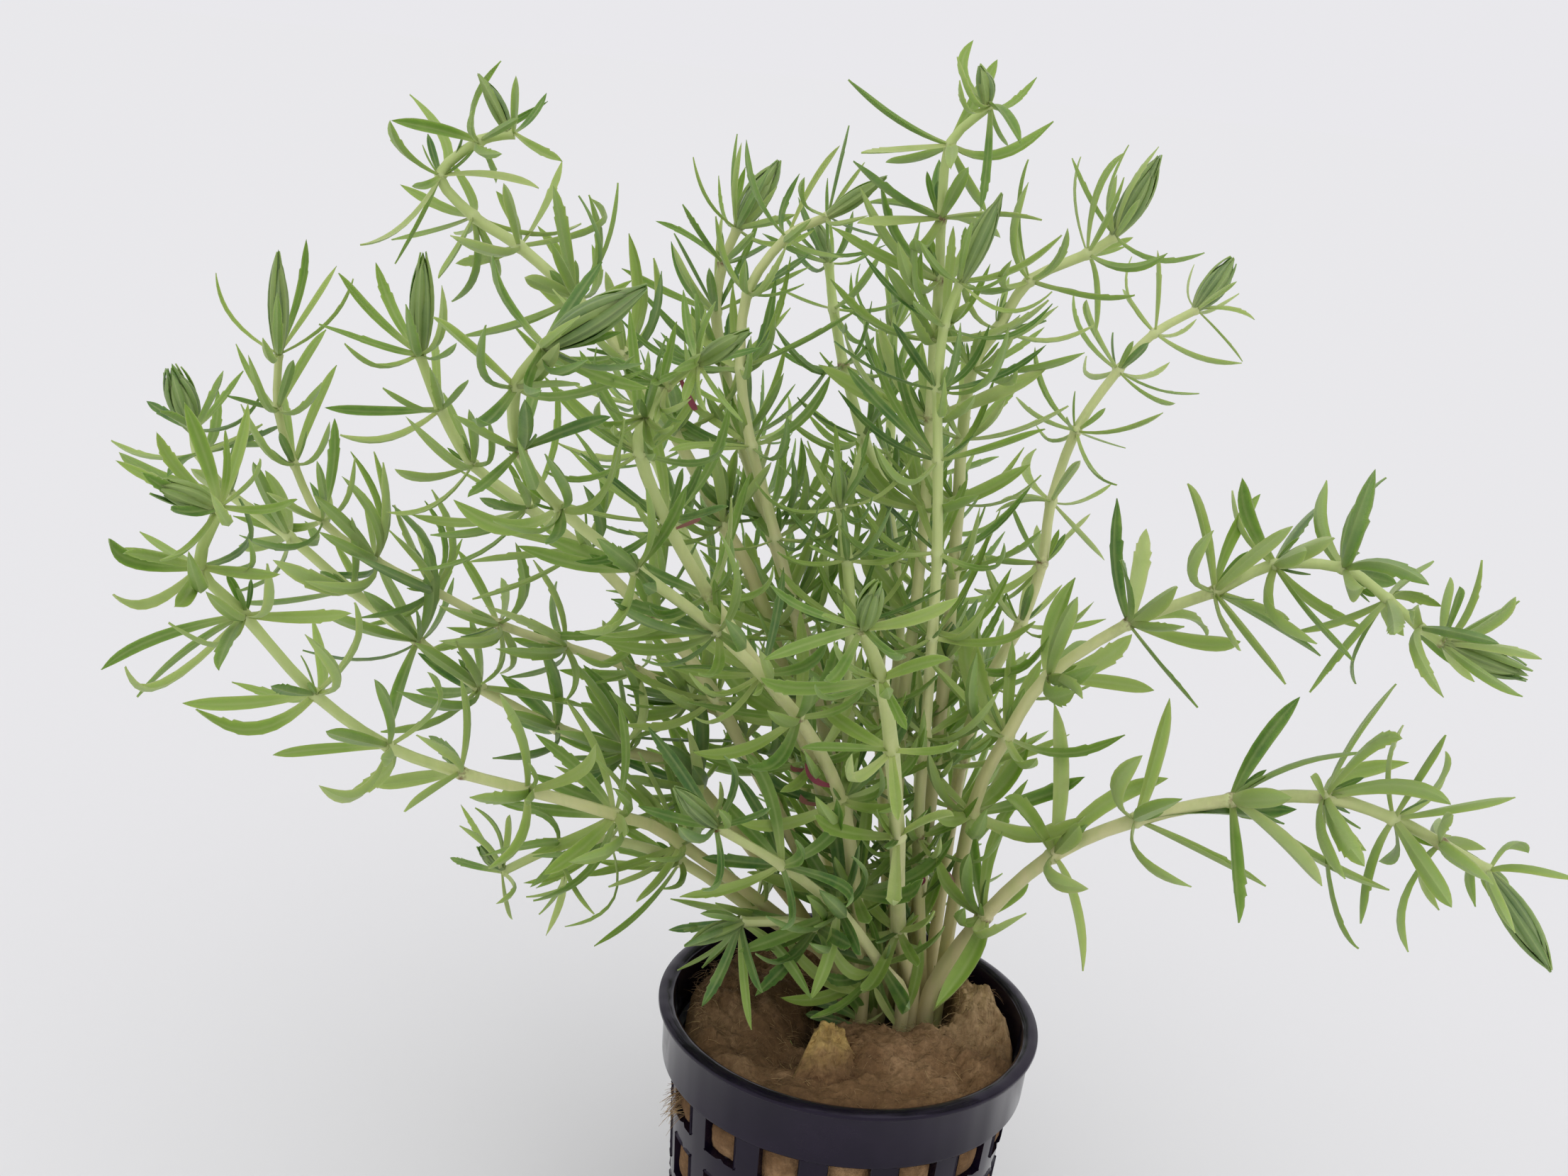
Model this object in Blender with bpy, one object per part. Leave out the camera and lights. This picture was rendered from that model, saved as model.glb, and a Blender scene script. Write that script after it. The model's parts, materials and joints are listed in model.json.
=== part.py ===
"""A bunch of leafy pogostemon shoots, standing in rock wool in a small net pot.

The origin is the centre of the pot's underside, +Z is up and the front is -Y. Tables and sizes are in
millimetres, and the meshes are made in metres. Each shoot is one piece: a stem whose leaves
grow out of its sides, whorl by whorl, with a closed bud of young leaves at its tip.
"""

import math
import random

import bmesh
import bpy
from mathutils import Vector
from mathutils.bvhtree import BVHTree
from mathutils.kdtree import KDTree

MM = 0.001
SEED = 7

# Net pot: radii are of the outer faces unless they say inner
POT_HEIGHT = 50.0
POT_FOOT_RADIUS = 21.5
POT_WALL_TOP_RADIUS = 24.0
POT_WALL = 1.1
POT_FLOOR = 1.2
BAND_BOTTOM = 41.1
BAND_LOW_RADIUS = 25.5
BAND_TOP_RADIUS = 25.9
LIP_RADIUS = 26.8
LIP_DEPTH = 1.2
LIP_INNER_RADIUS = 24.5
WINDOWS_AROUND = 16
WINDOW_DEGREES = 13.0
FIRST_WINDOW_DEGREES = -87.2
WINDOW_ROWS = ((4.8, 11.2), (14.8, 21.2), (24.8, 31.2), (34.8, 40.6))

# Rock wool: a plug that fills the basket, open round the foot of the shoots
GAP = 0.35
WOOL_TOP = 48.4
WOOL_SIDES = 16
WOOL_SHOULDER = 22.5
FRONT_SHOULDER = 24.0
PIT_CENTRE = (5.0, 9.0)
PIT_RADIUS = 11.2
PIT_FLOOR = 39.0
# Mounds and dips of the wool's top: x, y, height, spread
WOOL_LUMPS = (
    (-15.0, 3.0, 2.2, 6.5),
    (19.5, 7.0, 2.4, 4.5),
    (9.0, -6.0, 1.4, 6.0),
    (-5.0, -6.0, -2.2, 2.6),
    (18.5, -3.0, -1.3, 3.0),
    (-1.0, -9.0, 2.4, 2.2),
    (0.0, 20.0, 0.8, 6.0),
)

# Shoots
STEM_SIDES = 5
STEM_FOOT_RADIUS = 1.1
STEM_TIP_RADIUS = 0.62
STEM_TAPER = 0.8
NODE_SWELL = 1.12
NODE_LENGTH = 1.3
ROOT_CENTRE = (6.2, 10.2)
ROOT_SPACING = 2.85
NECK_HEIGHT = 50.5
STEM_CLEARANCE = 0.35
STEM_SAMPLES = 14
PARTING_ROUNDS = 80
PARTING_STEP = 0.12
LEAF_LENGTH = 17.0
LEAF_HALF_WIDTH = 0.95
LEAF_THICKNESS = 0.45
LEAF_ANGLE = math.radians(65.0)
LEAF_ARCH = 0.07
LEAVES_PER_WHORL = 5
LEAVES_OUT_OF_SIGHT = 4
LEAF_CLEARANCE = 0.33
SEEN_LEAVES_APART = 0.28
FREE_LEAVES_APART = 0.68

# The shoots' places are read from where a viewer in front of the pot sees them: across and down in the
# pixels of a 2212 x 1659 frame, and then set at a depth, behind (+) or before (-) the pot's axis.
FRAME_CENTRE = (1106.0, 829.5)
FOCAL_LENGTH = 2500.0
VIEWER = Vector((-15.15, -220.2, 180.3))
LOOK_DOWN = math.radians(17.7)
FRAME_LEAN = math.radians(6.0)

# For each shoot: the place of its root in the bunch (column, row), the depth of its tip, its closed bud
# (across, down, width in mm), and its whorls from the tip down. A whorl has its node (across, down) and its
# leaves' tips, some with the point (across, down) that the leaf bends through.
SHOOTS = {
    "shoot_far_left": (
        (-3, 0), 8, (240, 515, 4.5),
        [
            ((273, 607), [(343, 523), (315, 523), (370, 552), (207, 566), (226, 580)]),
            ((280, 640), [(157, 621, 210, 645), (236, 672), (370, 598), (370, 630)]),
            ((325, 697), [(168, 638, 240, 680)]),
            ((408, 757), [(357, 652), (337, 770), (330, 835), (430, 735)]),
            ((495, 832), [(385, 790), (340, 850, 400, 850)]),
            ((590, 905), [(448, 862), (427, 917, 520, 930), (530, 790), (652, 760), (553, 1025, 565, 970)]),
            ((677, 970), [(587, 973), (537, 1032), (830, 998)]),
            ((785, 1027), [(748, 872, 775, 930)]),
            ((885, 1060), []),
            ((985, 1110), []),
        ],
    ),
    "shoot_left_front": (
        (-2, -2), -50, (215, 682, 3.0),
        [
            ((310, 715), []),
            ((283, 800), [(155, 760), (197, 750), (160, 838), (247, 855)]),
            ((345, 868), [(143, 945, 220, 900), (177, 940, 230, 968), (193, 983), (308, 945), (495, 865)]),
            ((445, 980), [(327, 962), (257, 992), (277, 1000, 360, 1030), (430, 895), (500, 850)]),
            ((548, 1053), [(385, 1065), (460, 1032), (450, 1108, 510, 1120)]),
            ((650, 1090), [(525, 1108), (570, 1145), (587, 1037), (650, 960)]),
            ((745, 1115), [(705, 980), (840, 1050)]),
            ((868, 1150), []),
            ((985, 1200), []),
        ],
    ),
    "shoot_left_upper": (
        (-3, 1), 5, (393, 352, 2.8),
        [
            ((393, 500), [(305, 385), (432, 338), (475, 375), (498, 393)]),
            ((392, 578), [(333, 485), (320, 558), (460, 465)]),
            ((415, 655), [(398, 550), (475, 515), (465, 595), (340, 570)]),
            ((455, 735), [(472, 590), (500, 645), (437, 680)]),
            ((530, 790), []),
            ((610, 832), []),
            ((703, 880), [(727, 765), (645, 775), (630, 885), (678, 965), (707, 815)]),
            ((797, 912), [(752, 790), (785, 820), (795, 990)]),
            ((897, 945), [(850, 875), (905, 880), (1015, 925), (788, 945), (885, 1045)]),
            ((973, 988), []),
            ((1048, 1045), []),
        ],
    ),
    "shoot_left_inner": (
        (-2, 0), -10, (597, 355, 3.0),
        [
            ((592, 500), [(478, 385), (530, 370), (450, 457, 540, 490)]),
            ((622, 578), [(540, 547), (458, 575), (480, 613, 550, 620), (615, 480)]),
            ((667, 655), [(557, 662, 610, 675), (545, 722, 610, 715)]),
            ((745, 715), []),
            ((822, 775), []),
            ((915, 870), []),
            ((1010, 985), []),
        ],
    ),
    "shoot_top_left": (
        (-2, 1), 15, (673, 102, 2.4),
        [
            ((725, 188), [(728, 107), (793, 227)]),
            ((675, 200), [(707, 86), (773, 143), (552, 170), (708, 217), (667, 157)]),
            ((622, 248), [(578, 133, 628, 200), (550, 170, 570, 215), (508, 345, 570, 318), (557, 372),
                          (760, 265)]),
            ((668, 305), [(552, 338), (618, 392), (637, 425), (820, 315), (697, 400)]),
            ((733, 348), [(833, 280, 845, 320)]),
            ((812, 420), []),
            ((880, 500), []),
            ((950, 610), []),
            ((1020, 740), []),
            ((1085, 880), []),
        ],
    ),
    "shoot_big_bud": (
        (-2, -3), -45, (915, 402, 4.2),
        [
            ((768, 488), []),
            ((727, 547), [(612, 447), (672, 590), (915, 520, 800, 560), (818, 542)]),
            ((733, 635), [(640, 585), (660, 700), (862, 588), (765, 510)]),
            ((790, 717), [(640, 705, 720, 745), (880, 590, 850, 700)]),
            ((897, 803), [(765, 755), (730, 770)]),
            ((1013, 892), [(862, 845), (838, 902), (1015, 752), (1040, 790)]),
            ((1126, 1012), []),
            ((1187, 1130), []),
            ((1205, 1250), []),
        ],
    ),
    "shoot_middle_front": (
        (-1, -2), -30, (1060, 465, 2.4),
        [
            ((985, 512), [(1075, 490), (920, 540), (1010, 425)]),
            ((940, 545), [(860, 505)]),
            ((911, 588), [(842, 490)]),
            ((903, 640), []),
            ((940, 735), []),
            ((1000, 840), []),
            ((1075, 950), []),
            ((1140, 1080), []),
        ],
    ),
    "shoot_middle_left": (
        (-1, 1), 25, (1100, 225, 4.2),
        [
            ((1040, 322), []),
            ((1020, 372), [(963, 288), (925, 312)]),
            ((1010, 440), []),
            ((1022, 520), []),
            ((1045, 620), []),
            ((1080, 730), []),
            ((1120, 850), []),
            ((1160, 980), []),
        ],
    ),
    "shoot_middle_top": (
        (-1, 0), 8, (1253, 247, 2.2),
        [
            ((1168, 305), [(1198, 177), (1135, 250), (1220, 229)]),
            ((1110, 335), [(1053, 197), (1185, 205), (1250, 345)]),
            ((1055, 413), [(1010, 305)]),
            ((1045, 520), []),
            ((1060, 630), []),
            ((1095, 760), []),
            ((1130, 900), []),
            ((1165, 1040), []),
        ],
    ),
    "shoot_middle_back": (
        (0, 1), 35, (1150, 310, 2.4),
        [
            ((1169, 371), []),
            ((1176, 436), [(1280, 420), (1222, 475)]),
            ((1190, 515), [(1233, 475)]),
            ((1218, 616), []),
            ((1247, 690), []),
            ((1262, 790), []),
            ((1268, 920), []),
            ((1262, 1060), []),
        ],
    ),
    "shoot_top": (
        (0, 0), 4, (1382, 90, 2.4),
        [
            ((1397, 148), [(1373, 57, 1358, 105), (1440, 203, 1415, 160), (1383, 295, 1392, 230)]),
            ((1340, 205), [(1197, 112, 1265, 170), (1215, 215, 1270, 212), (1407, 84), (1486, 171, 1410, 222),
                          (1392, 300, 1362, 255)]),
            ((1328, 308), [(1204, 227, 1265, 280), (1210, 314, 1260, 312), (1470, 310), (1366, 236),
                          (1325, 225)]),
            ((1325, 395), []),
            ((1318, 480), []),
            ((1312, 590), []),
            ((1305, 720), []),
            ((1290, 870), []),
            ((1270, 1040), []),
        ],
    ),
    "shoot_top_bud": (
        (1, -1), -5, (1415, 270, 3.0),
        [
            ((1355, 398), [(1362, 320), (1425, 385), (1484, 411, 1420, 440)]),
            ((1332, 460), []),
            ((1323, 550), []),
            ((1323, 650), []),
            ((1322, 780), []),
            ((1315, 900), []),
            ((1305, 1040), []),
            ((1295, 1180), []),
        ],
    ),
    "shoot_top_right": (
        (1, 0), 15, (1637, 217, 3.8),
        [
            ((1573, 334), []),
            ((1534, 358), [(1525, 221, 1516, 280), (1587, 215, 1548, 270), (1590, 347), (1647, 357, 1590, 378),
                          (1545, 476, 1545, 400)]),
            ((1453, 396), [(1506, 322, 1490, 370), (1601, 416, 1540, 420), (1451, 225, 1437, 300),
                          (1365, 398)]),
            ((1408, 463), [(1546, 457, 1480, 482)]),
            ((1372, 520), []),
            ((1357, 620), []),
            ((1352, 710), []),
            ((1345, 805), [(1469, 748, 1420, 785)]),
            ((1335, 930), []),
            ((1318, 1080), []),
        ],
    ),
    "shoot_right_upper": (
        (2, 0), 45, (1742, 362, 4.0),
        [
            ((1688, 437), [(1770, 451, 1735, 437), (1753, 510, 1725, 475), (1685, 373, 1675, 410), (1745, 397)]),
            ((1629, 470), [(1584, 408), (1597, 362), (1633, 353), (1752, 512, 1690, 505), (1688, 450, 1660, 473)]),
            ((1577, 523), [(1515, 415, 1525, 470), (1533, 502), (1650, 511, 1615, 533), (1692, 555, 1635, 550),
                          (1658, 569, 1620, 560)]),
            ((1518, 608), [(1460, 489, 1475, 555), (1434, 560, 1465, 590), (1641, 582, 1580, 608), (1588, 632),
                          (1576, 684, 1538, 660)]),
            ((1483, 708), [(1462, 633, 1448, 670), (1405, 722), (1524, 650), (1558, 790, 1520, 750)]),
            ((1470, 795), [(1372, 785), (1375, 830), (1410, 845)]),
            ((1440, 880), []),
            ((1392, 965), []),
            ((1355, 1080), []),
        ],
    ),
    "shoot_right": (
        (2, -1), -15, (2160, 955, 4.0),
        [
            ((2035, 908), [(2047, 815, 2035, 860), (2091, 790, 2070, 860), (2144, 848), (2175, 930, 2110, 913),
                          (2148, 983)]),
            ((2003, 885), [(1998, 907), (1995, 862)]),
            ((1957, 845), [(2023, 792), (1825, 892, 1900, 870), (1848, 977, 1900, 905), (1913, 965, 1912, 920),
                          (1980, 897)]),
            ((1895, 802), [(1872, 678, 1862, 740), (1940, 662, 1905, 760), (2016, 825, 1950, 795), (1970, 823)]),
            ((1797, 797), [(1753, 675), (1862, 713, 1825, 750), (1843, 777), (1924, 886, 1850, 850),
                          (1909, 932, 1850, 870)]),
            ((1712, 835), [(1676, 682, 1697, 750), (1778, 697, 1735, 760), (1824, 742), (1863, 925, 1800, 885),
                          (1814, 965, 1760, 900)]),
            ((1592, 880), [(1576, 703, 1572, 800), (1617, 746), (1661, 828), (1750, 905, 1680, 908),
                          (1690, 998, 1640, 940)]),
            ((1478, 955), [(1517, 815, 1485, 890), (1520, 842), (1628, 974, 1560, 962), (1597, 895, 1540, 940)]),
            ((1420, 1040), []),
            ((1370, 1150), []),
        ],
    ),
    "shoot_right_low": (
        (2, -2), -20, (2190, 1373, 4.3),
        [
            ((2100, 1228), [(2156, 1203, 2130, 1190), (2228, 1242, 2150, 1222)]),
            ((2033, 1190), [(2096, 1198), (1987, 1343, 1978, 1270)]),
            ((1965, 1155), [(1980, 1023, 1958, 1080), (2040, 1037, 2010, 1080), (2138, 1125, 2050, 1140),
                          (1920, 1303, 1930, 1220), (2048, 1280)]),
            ((1868, 1125), [(1970, 965, 1910, 1040), (1978, 1042, 1930, 1055), (2047, 1135, 1970, 1108),
                          (1917, 1338, 1880, 1270), (1927, 1200)]),
            ((1736, 1129), [(1834, 983, 1775, 1055), (1925, 1062, 1820, 1080), (1748, 1302, 1740, 1210),
                          (1865, 1250), (1960, 1255, 1860, 1215)]),
            ((1602, 1157), [(1650, 985, 1625, 1080), (1812, 1162, 1700, 1145), (1786, 1250, 1690, 1200)]),
            ((1485, 1207), [(1418, 1125, 1450, 1155), (1487, 992, 1495, 1100), (1648, 1098, 1555, 1135),
                          (1528, 1370, 1513, 1270)]),
            ((1388, 1290), [(1362, 1120, 1372, 1210), (1450, 1100, 1400, 1190), (1320, 1420, 1370, 1350)]),
        ],
    ),
    "shoot_front": (
        (1, -2), -42, (1240, 820, 3.0),
        [
            ((1216, 886), [(1352, 843, 1290, 872), (1077, 931, 1150, 905), (1088, 826), (1274, 924)]),
            ((1243, 958), [(1177, 905), (1150, 965), (1340, 930)]),
            ((1258, 1059), [(1130, 1055), (1350, 1045)]),
            ((1266, 1181), [(1150, 1150), (1345, 1150, 1310, 1158), (1190, 1090)]),
            ((1265, 1317), [(1200, 1205, 1225, 1270), (1318, 1285)]),
        ],
    ),
    "shoot_front_left": (
        (0, -3), -28, (950, 1110, 2.6),
        [
            ((1010, 1166), [(915, 1026), (900, 1137)]),
            ((1103, 1221), []),
            ((1183, 1283), []),
            ((1240, 1355), []),
        ],
    ),
    "shoot_low_left": (
        (-3, -1), -8, (676, 1192, 1.8),
        [
            ((708, 1230), [(650, 1135), (635, 1210), (718, 1150), (700, 1275), (722, 1297)]),
            ((786, 1195), [(838, 1290), (770, 1320)]),
            ((860, 1185), []),
            ((960, 1215), []),
            ((1065, 1285), []),
        ],
    ),
    "shoot_over_rim": (
        (-2, -1), -16, (965, 1335, 2.6),
        [
            ((1045, 1300), [(943, 1312), (990, 1365), (990, 1420), (1060, 1453), (1145, 1410)]),
            ((1105, 1330), []),
        ],
    ),
    "shoot_middle": (
        (-1, -1), 0, (1184, 652, 2.4),
        [
            ((1185, 715), []),
            ((1195, 790), []),
            ((1200, 880), []),
            ((1198, 990), []),
            ((1195, 1110), []),
            ((1200, 1230), []),
        ],
    ),
    "shoot_back_left": (
        (-2, 2), 62, (885, 500, 2.6),
        [((900, 570), []), ((925, 650), []), ((960, 740), []), ((1005, 840), []), ((1060, 950), []),
         ((1120, 1080), [])],
    ),
    "shoot_back_middle": (
        (-1, 2), 80, (1050, 550, 2.6),
        [((1065, 620), []), ((1080, 700), []), ((1100, 790), []), ((1125, 890), []), ((1155, 1010), []),
         ((1185, 1140), [])],
    ),
    "shoot_back_tall": (
        (0, 2), 48, (1262, 400, 2.6),
        [((1260, 470), []), ((1258, 550), []), ((1255, 640), []), ((1250, 750), []), ((1245, 870), []),
         ((1240, 1000), [])],
    ),
    "shoot_back_right": (
        (1, 2), 72, (1330, 600, 2.6),
        [((1325, 670), []), ((1322, 750), []), ((1318, 840), []), ((1310, 940), []), ((1300, 1060), [])],
    ),
    "shoot_back_low": (
        (2, 1), 62, (1400, 900, 2.6),
        [((1385, 975), []), ((1368, 1050), []), ((1345, 1140), []), ((1320, 1240), [])],
    ),
}


def sight_line(across, down):
    """The direction in which the viewer sees a place of the frame."""
    right = across - FRAME_CENTRE[0]
    below = down - FRAME_CENTRE[1]
    level_right = right * math.cos(FRAME_LEAN) + below * math.sin(FRAME_LEAN)
    level_below = below * math.cos(FRAME_LEAN) - right * math.sin(FRAME_LEAN)
    forward = Vector((0, math.cos(LOOK_DOWN), -math.sin(LOOK_DOWN)))
    upward = Vector((0, math.sin(LOOK_DOWN), math.cos(LOOK_DOWN)))
    sideways = Vector((1, 0, 0))
    return (forward + sideways * level_right / FOCAL_LENGTH - upward * level_below / FOCAL_LENGTH).normalized()


def seen(across, down, depth):
    """The point at this depth that the viewer sees at a place of the frame."""
    line = sight_line(across, down)
    return VIEWER + line * ((depth - VIEWER.y) / line.y)


def reached(start, across, down, length):
    """The nearer and the farther point, this far from start, that are seen at a place of the frame."""
    line = sight_line(across, down)
    along = (start - VIEWER).dot(line)
    miss = (start - VIEWER - line * along).length
    spread = math.sqrt(max(length * length - miss * miss, 0.0))
    return VIEWER + line * (along - spread), VIEWER + line * (along + spread)


def root_place(column, row):
    """Where a shoot's cut foot stands, in a honeycomb of shoots."""
    across = column + 0.5 * (row % 2)
    return Vector((
        ROOT_CENTRE[0] + ROOT_SPACING * across,
        ROOT_CENTRE[1] + ROOT_SPACING * math.sqrt(0.75) * row,
        PIT_FLOOR + GAP,
    ))


def stem_points(root, tip_depth, bud, whorls):
    """The stem's points from its foot to the bud's tip: foot, neck, whorls and bud."""
    foot = root_place(*root)
    neck = Vector((foot.x, foot.y, NECK_HEIGHT))
    places = [bud[:2]] + [node for node, _ in whorls]
    places.reverse()
    runs = [0.0]
    neck_seen = seen_place(neck)
    for before, after in zip([neck_seen] + places, places):
        runs.append(runs[-1] + math.dist(before, after))
    points = [foot, neck]
    for place, run in zip(places, runs[1:]):
        depth = neck.y + (tip_depth - neck.y) * (run / runs[-1]) ** 1.2
        points.append(seen(*place, depth))
    return points


def seen_place(point):
    """The place of the frame at which the viewer sees a point."""
    offset = point - VIEWER
    ahead = offset.y * math.cos(LOOK_DOWN) - offset.z * math.sin(LOOK_DOWN)
    height = offset.y * math.sin(LOOK_DOWN) + offset.z * math.cos(LOOK_DOWN)
    level_right = FOCAL_LENGTH * offset.x / ahead
    level_below = -FOCAL_LENGTH * height / ahead
    return (
        FRAME_CENTRE[0] + level_right * math.cos(FRAME_LEAN) - level_below * math.sin(FRAME_LEAN),
        FRAME_CENTRE[1] + level_right * math.sin(FRAME_LEAN) + level_below * math.cos(FRAME_LEAN),
    )


def keep_apart(stems):
    """Moves the stems' points above the neck until the stems pass each other with a gap."""
    samples = [
        (stem, low, (part + 0.5) / STEM_SAMPLES)
        for stem in stems
        for low in range(len(stem) - 1)
        for part in range(STEM_SAMPLES)
    ]
    wanted = 2 * STEM_FOOT_RADIUS * NODE_SWELL + STEM_CLEARANCE
    for _ in range(PARTING_ROUNDS):
        places = [stem[low].lerp(stem[low + 1], share) for stem, low, share in samples]
        near = KDTree(len(places))
        for number, place in enumerate(places):
            near.insert(place, number)
        near.balance()
        moves = []
        for place, (stem, low, share) in zip(places, samples):
            push = Vector()
            for other, number, distance in near.find_range(place, wanted):
                if samples[number][0] is not stem:
                    push += (place - other) * (wanted - distance) / max(distance, 0.01)
            moves.append(push * PARTING_STEP)
        for move, (stem, low, share) in zip(moves, samples):
            if low > 1:
                stem[low] += move * (1 - share)
            if low > 0:
                stem[low + 1] += move * share
    return stems


def frames_along(points):
    """At each point, the stem's direction and two sideways axes that turn with it without twisting."""
    frames = []
    sideways = Vector((1, 0, 0))
    for i, point in enumerate(points):
        before = points[max(i - 1, 0)]
        after = points[min(i + 1, len(points) - 1)]
        along = (after - before).normalized()
        sideways = (sideways - along * sideways.dot(along)).normalized()
        frames.append((along, sideways, along.cross(sideways)))
    return frames


def usual_length(level):
    """A leaf's length by how many whorls it is below the tip."""
    return LEAF_LENGTH * min(0.72 + 0.1 * level, 1.0)


class Leaf:
    """A leaf from its whorl's centre through a middle point to its tip. A plain one runs straight."""

    def __init__(self, start, middle, tip, along, plain=False):
        self.plain = plain
        self.start = start
        self.middle = middle
        self.tip = tip
        self.course = (tip - start).normalized()
        face = (along - self.course * along.dot(self.course)).normalized()
        self.across = self.course.cross(face)
        self.face = face

    def section(self, extra=0.0):
        """Left edge, right edge and keel at the middle of the blade."""
        half = self.across * (LEAF_HALF_WIDTH + extra)
        rise = self.face * extra
        keel = self.face * (LEAF_THICKNESS + extra)
        return self.middle - half + rise, self.middle + half + rise, self.middle - keel

    def shape(self, extra=0.0):
        """The blade's corners and faces, swollen by a margin, as other leaves meet it."""
        half = NODE_LENGTH / 2 + extra
        out = (self.middle - self.start).normalized()
        base = self.start + out * half
        corners = [
            base + self.across * half * side + self.face * half * rise
            for side, rise in ((-1, -1), (1, -1), (1, 1), (-1, 1))
        ]
        corners.append(self.tip + self.course * extra)
        if self.plain:
            return corners, [(0, 1, 4), (1, 2, 4), (2, 3, 4), (3, 0, 4)]
        corners += self.section(extra)
        return corners, [
            (0, 1, 7), (1, 2, 6, 7), (2, 3, 5, 6), (3, 0, 7, 5), (7, 6, 4), (6, 5, 4), (5, 7, 4),
        ]


def seen_leaf_choices(start, pick, along, length, placed):
    """Leaves that the viewer sees alike, from the likeliest to the least likely."""
    choices = []
    for stretch in (1.0, 1.12, 0.9, 1.25, 0.8, 1.4):
        for tip in reached(start, pick[0], pick[1], length * stretch):
            if len(pick) == 4:
                middle = seen(pick[2], pick[3], (start.y + tip.y) / 2)
            else:
                middle = (start + tip) / 2 + along * LEAF_ARCH * (tip - start).length
            leaf = Leaf(start, middle, tip, along)
            lean = abs(leaf.course.angle(along) - LEAF_ANGLE)
            crowding = sum(max(0.0, 0.7 - leaf.course.angle(old.course)) for old in placed)
            choices.append((lean + crowding + 2.0 * abs(stretch - 1.0), len(choices), leaf))
    return [choice[2] for choice in sorted(choices, key=lambda choice: choice[:2])]


def free_leaf_choices(start, frame, angle, length):
    """Leaves of a whorl's even spread round the stem, turned a little at each further choice."""
    along, sideways, other = frame
    choices = []
    for turn, stretch in ((0, 1.0), (0.25, 1.0), (-0.25, 0.95), (0.5, 0.9), (-0.5, 0.85), (0, 0.7)):
        round_stem = sideways * math.cos(angle + turn) + other * math.sin(angle + turn)
        course = along * math.cos(LEAF_ANGLE) + round_stem * math.sin(LEAF_ANGLE)
        tip = start + course * length * stretch
        choices.append(Leaf(start, (start + tip) / 2, tip, along, plain=True))
    return choices


def touches(leaf, obstacles):
    swollen = BVHTree.FromPolygons(*leaf.shape(LEAF_CLEARANCE))
    return any(swollen.overlap(obstacle) for obstacle in obstacles)


def crowds(leaf, placed, angle):
    return any(leaf.course.angle(old.course) < angle for old in placed)


def tube_shape(points, radii):
    """Corners and faces of a stem as an obstacle."""
    corners = []
    sides = []
    for point, radius, (_, sideways, other) in zip(points, radii, frames_along(points)):
        for k in range(STEM_SIDES):
            turn = 2 * math.pi * k / STEM_SIDES
            corners.append(point + (sideways * math.cos(turn) + other * math.sin(turn)) * radius)
    for ring in range(len(points) - 1):
        for k in range(STEM_SIDES):
            a = ring * STEM_SIDES + k
            b = ring * STEM_SIDES + (k + 1) % STEM_SIDES
            sides.append((a, b, b + STEM_SIDES, a + STEM_SIDES))
    return corners, sides


def joined_tree(shapes):
    """One search tree of many shapes, also of none."""
    corners = [VIEWER, VIEWER + Vector((1, 0, 0)), VIEWER + Vector((0, 1, 0))]
    sides = [(0, 1, 2)]
    for points, faces in shapes:
        start = len(corners)
        corners += points
        sides += [tuple(start + i for i in face) for face in faces]
    return BVHTree.FromPolygons(corners, sides)


class Shoot:
    """A stem with its whorls, from the foot up, and its bud."""

    def __init__(self, name, points, bud, whorls):
        self.name = name
        self.points = points
        self.frames = frames_along(points)
        count = len(points)
        self.radii = [
            STEM_FOOT_RADIUS + (STEM_TIP_RADIUS - STEM_FOOT_RADIUS) * (i / (count - 1)) ** STEM_TAPER
            for i in range(count)
        ]
        self.bud_width = bud[2]
        self.picks = [picks for _, picks in reversed(whorls)]
        self.leaves = [[] for _ in self.picks]

    def whorl(self, index):
        """Centre, frame and level below the tip of a whorl, counted from the foot."""
        return self.points[index + 2], self.frames[index + 2], len(self.picks) - 1 - index

    def stem_shapes(self):
        radii = [radius * NODE_SWELL for radius in self.radii[:-1]]
        return [tube_shape(self.points[:-1], radii), tube_shape(self.points[-2:], [self.bud_width / 2] * 2)]

    def leaf_shapes(self, besides=None):
        return [leaf.shape() for i, whorl in enumerate(self.leaves) if i != besides for leaf in whorl]


def place_seen_leaves(shoot, obstacles):
    for index, picks in enumerate(shoot.picks):
        start, frame, level = shoot.whorl(index)
        in_the_way = obstacles + [joined_tree(shoot.leaf_shapes(besides=index))]
        for pick in picks[:LEAVES_PER_WHORL]:
            placed = shoot.leaves[index]
            for leaf in seen_leaf_choices(start, pick, frame[0], usual_length(level), placed):
                if not crowds(leaf, placed, SEEN_LEAVES_APART) and not touches(leaf, in_the_way):
                    placed.append(leaf)
                    break


def place_free_leaves(shoot, obstacles, chance):
    """Fills the whorls. Beside leaves that are seen, a further one points nearly at or away from the viewer."""
    for index, picks in enumerate(shoot.picks):
        start, frame, level = shoot.whorl(index)
        in_the_way = obstacles + [joined_tree(shoot.leaf_shapes(besides=index))]
        placed = shoot.leaves[index]
        first = chance.uniform(0, 2 * math.pi)
        length = usual_length(level) * chance.uniform(0.85, 1.0)
        wanted = LEAVES_PER_WHORL if picks else LEAVES_OUT_OF_SIGHT
        for k in range(wanted):
            if len(placed) >= wanted:
                break
            for leaf in free_leaf_choices(start, frame, first + 2 * math.pi * k / wanted, length):
                sight = (start - VIEWER).normalized()
                if picks and leaf.course.cross(sight).length > 0.75:
                    continue
                if crowds(leaf, placed, FREE_LEAVES_APART) or touches(leaf, in_the_way):
                    continue
                placed.append(leaf)
                break


def ring(bm, centre, frame, radius):
    _, sideways, other = frame
    corners = []
    for k in range(STEM_SIDES):
        turn = 2 * math.pi * k / STEM_SIDES
        corners.append(bm.verts.new((centre + (sideways * math.cos(turn) + other * math.sin(turn)) * radius) * MM))
    return corners


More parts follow.
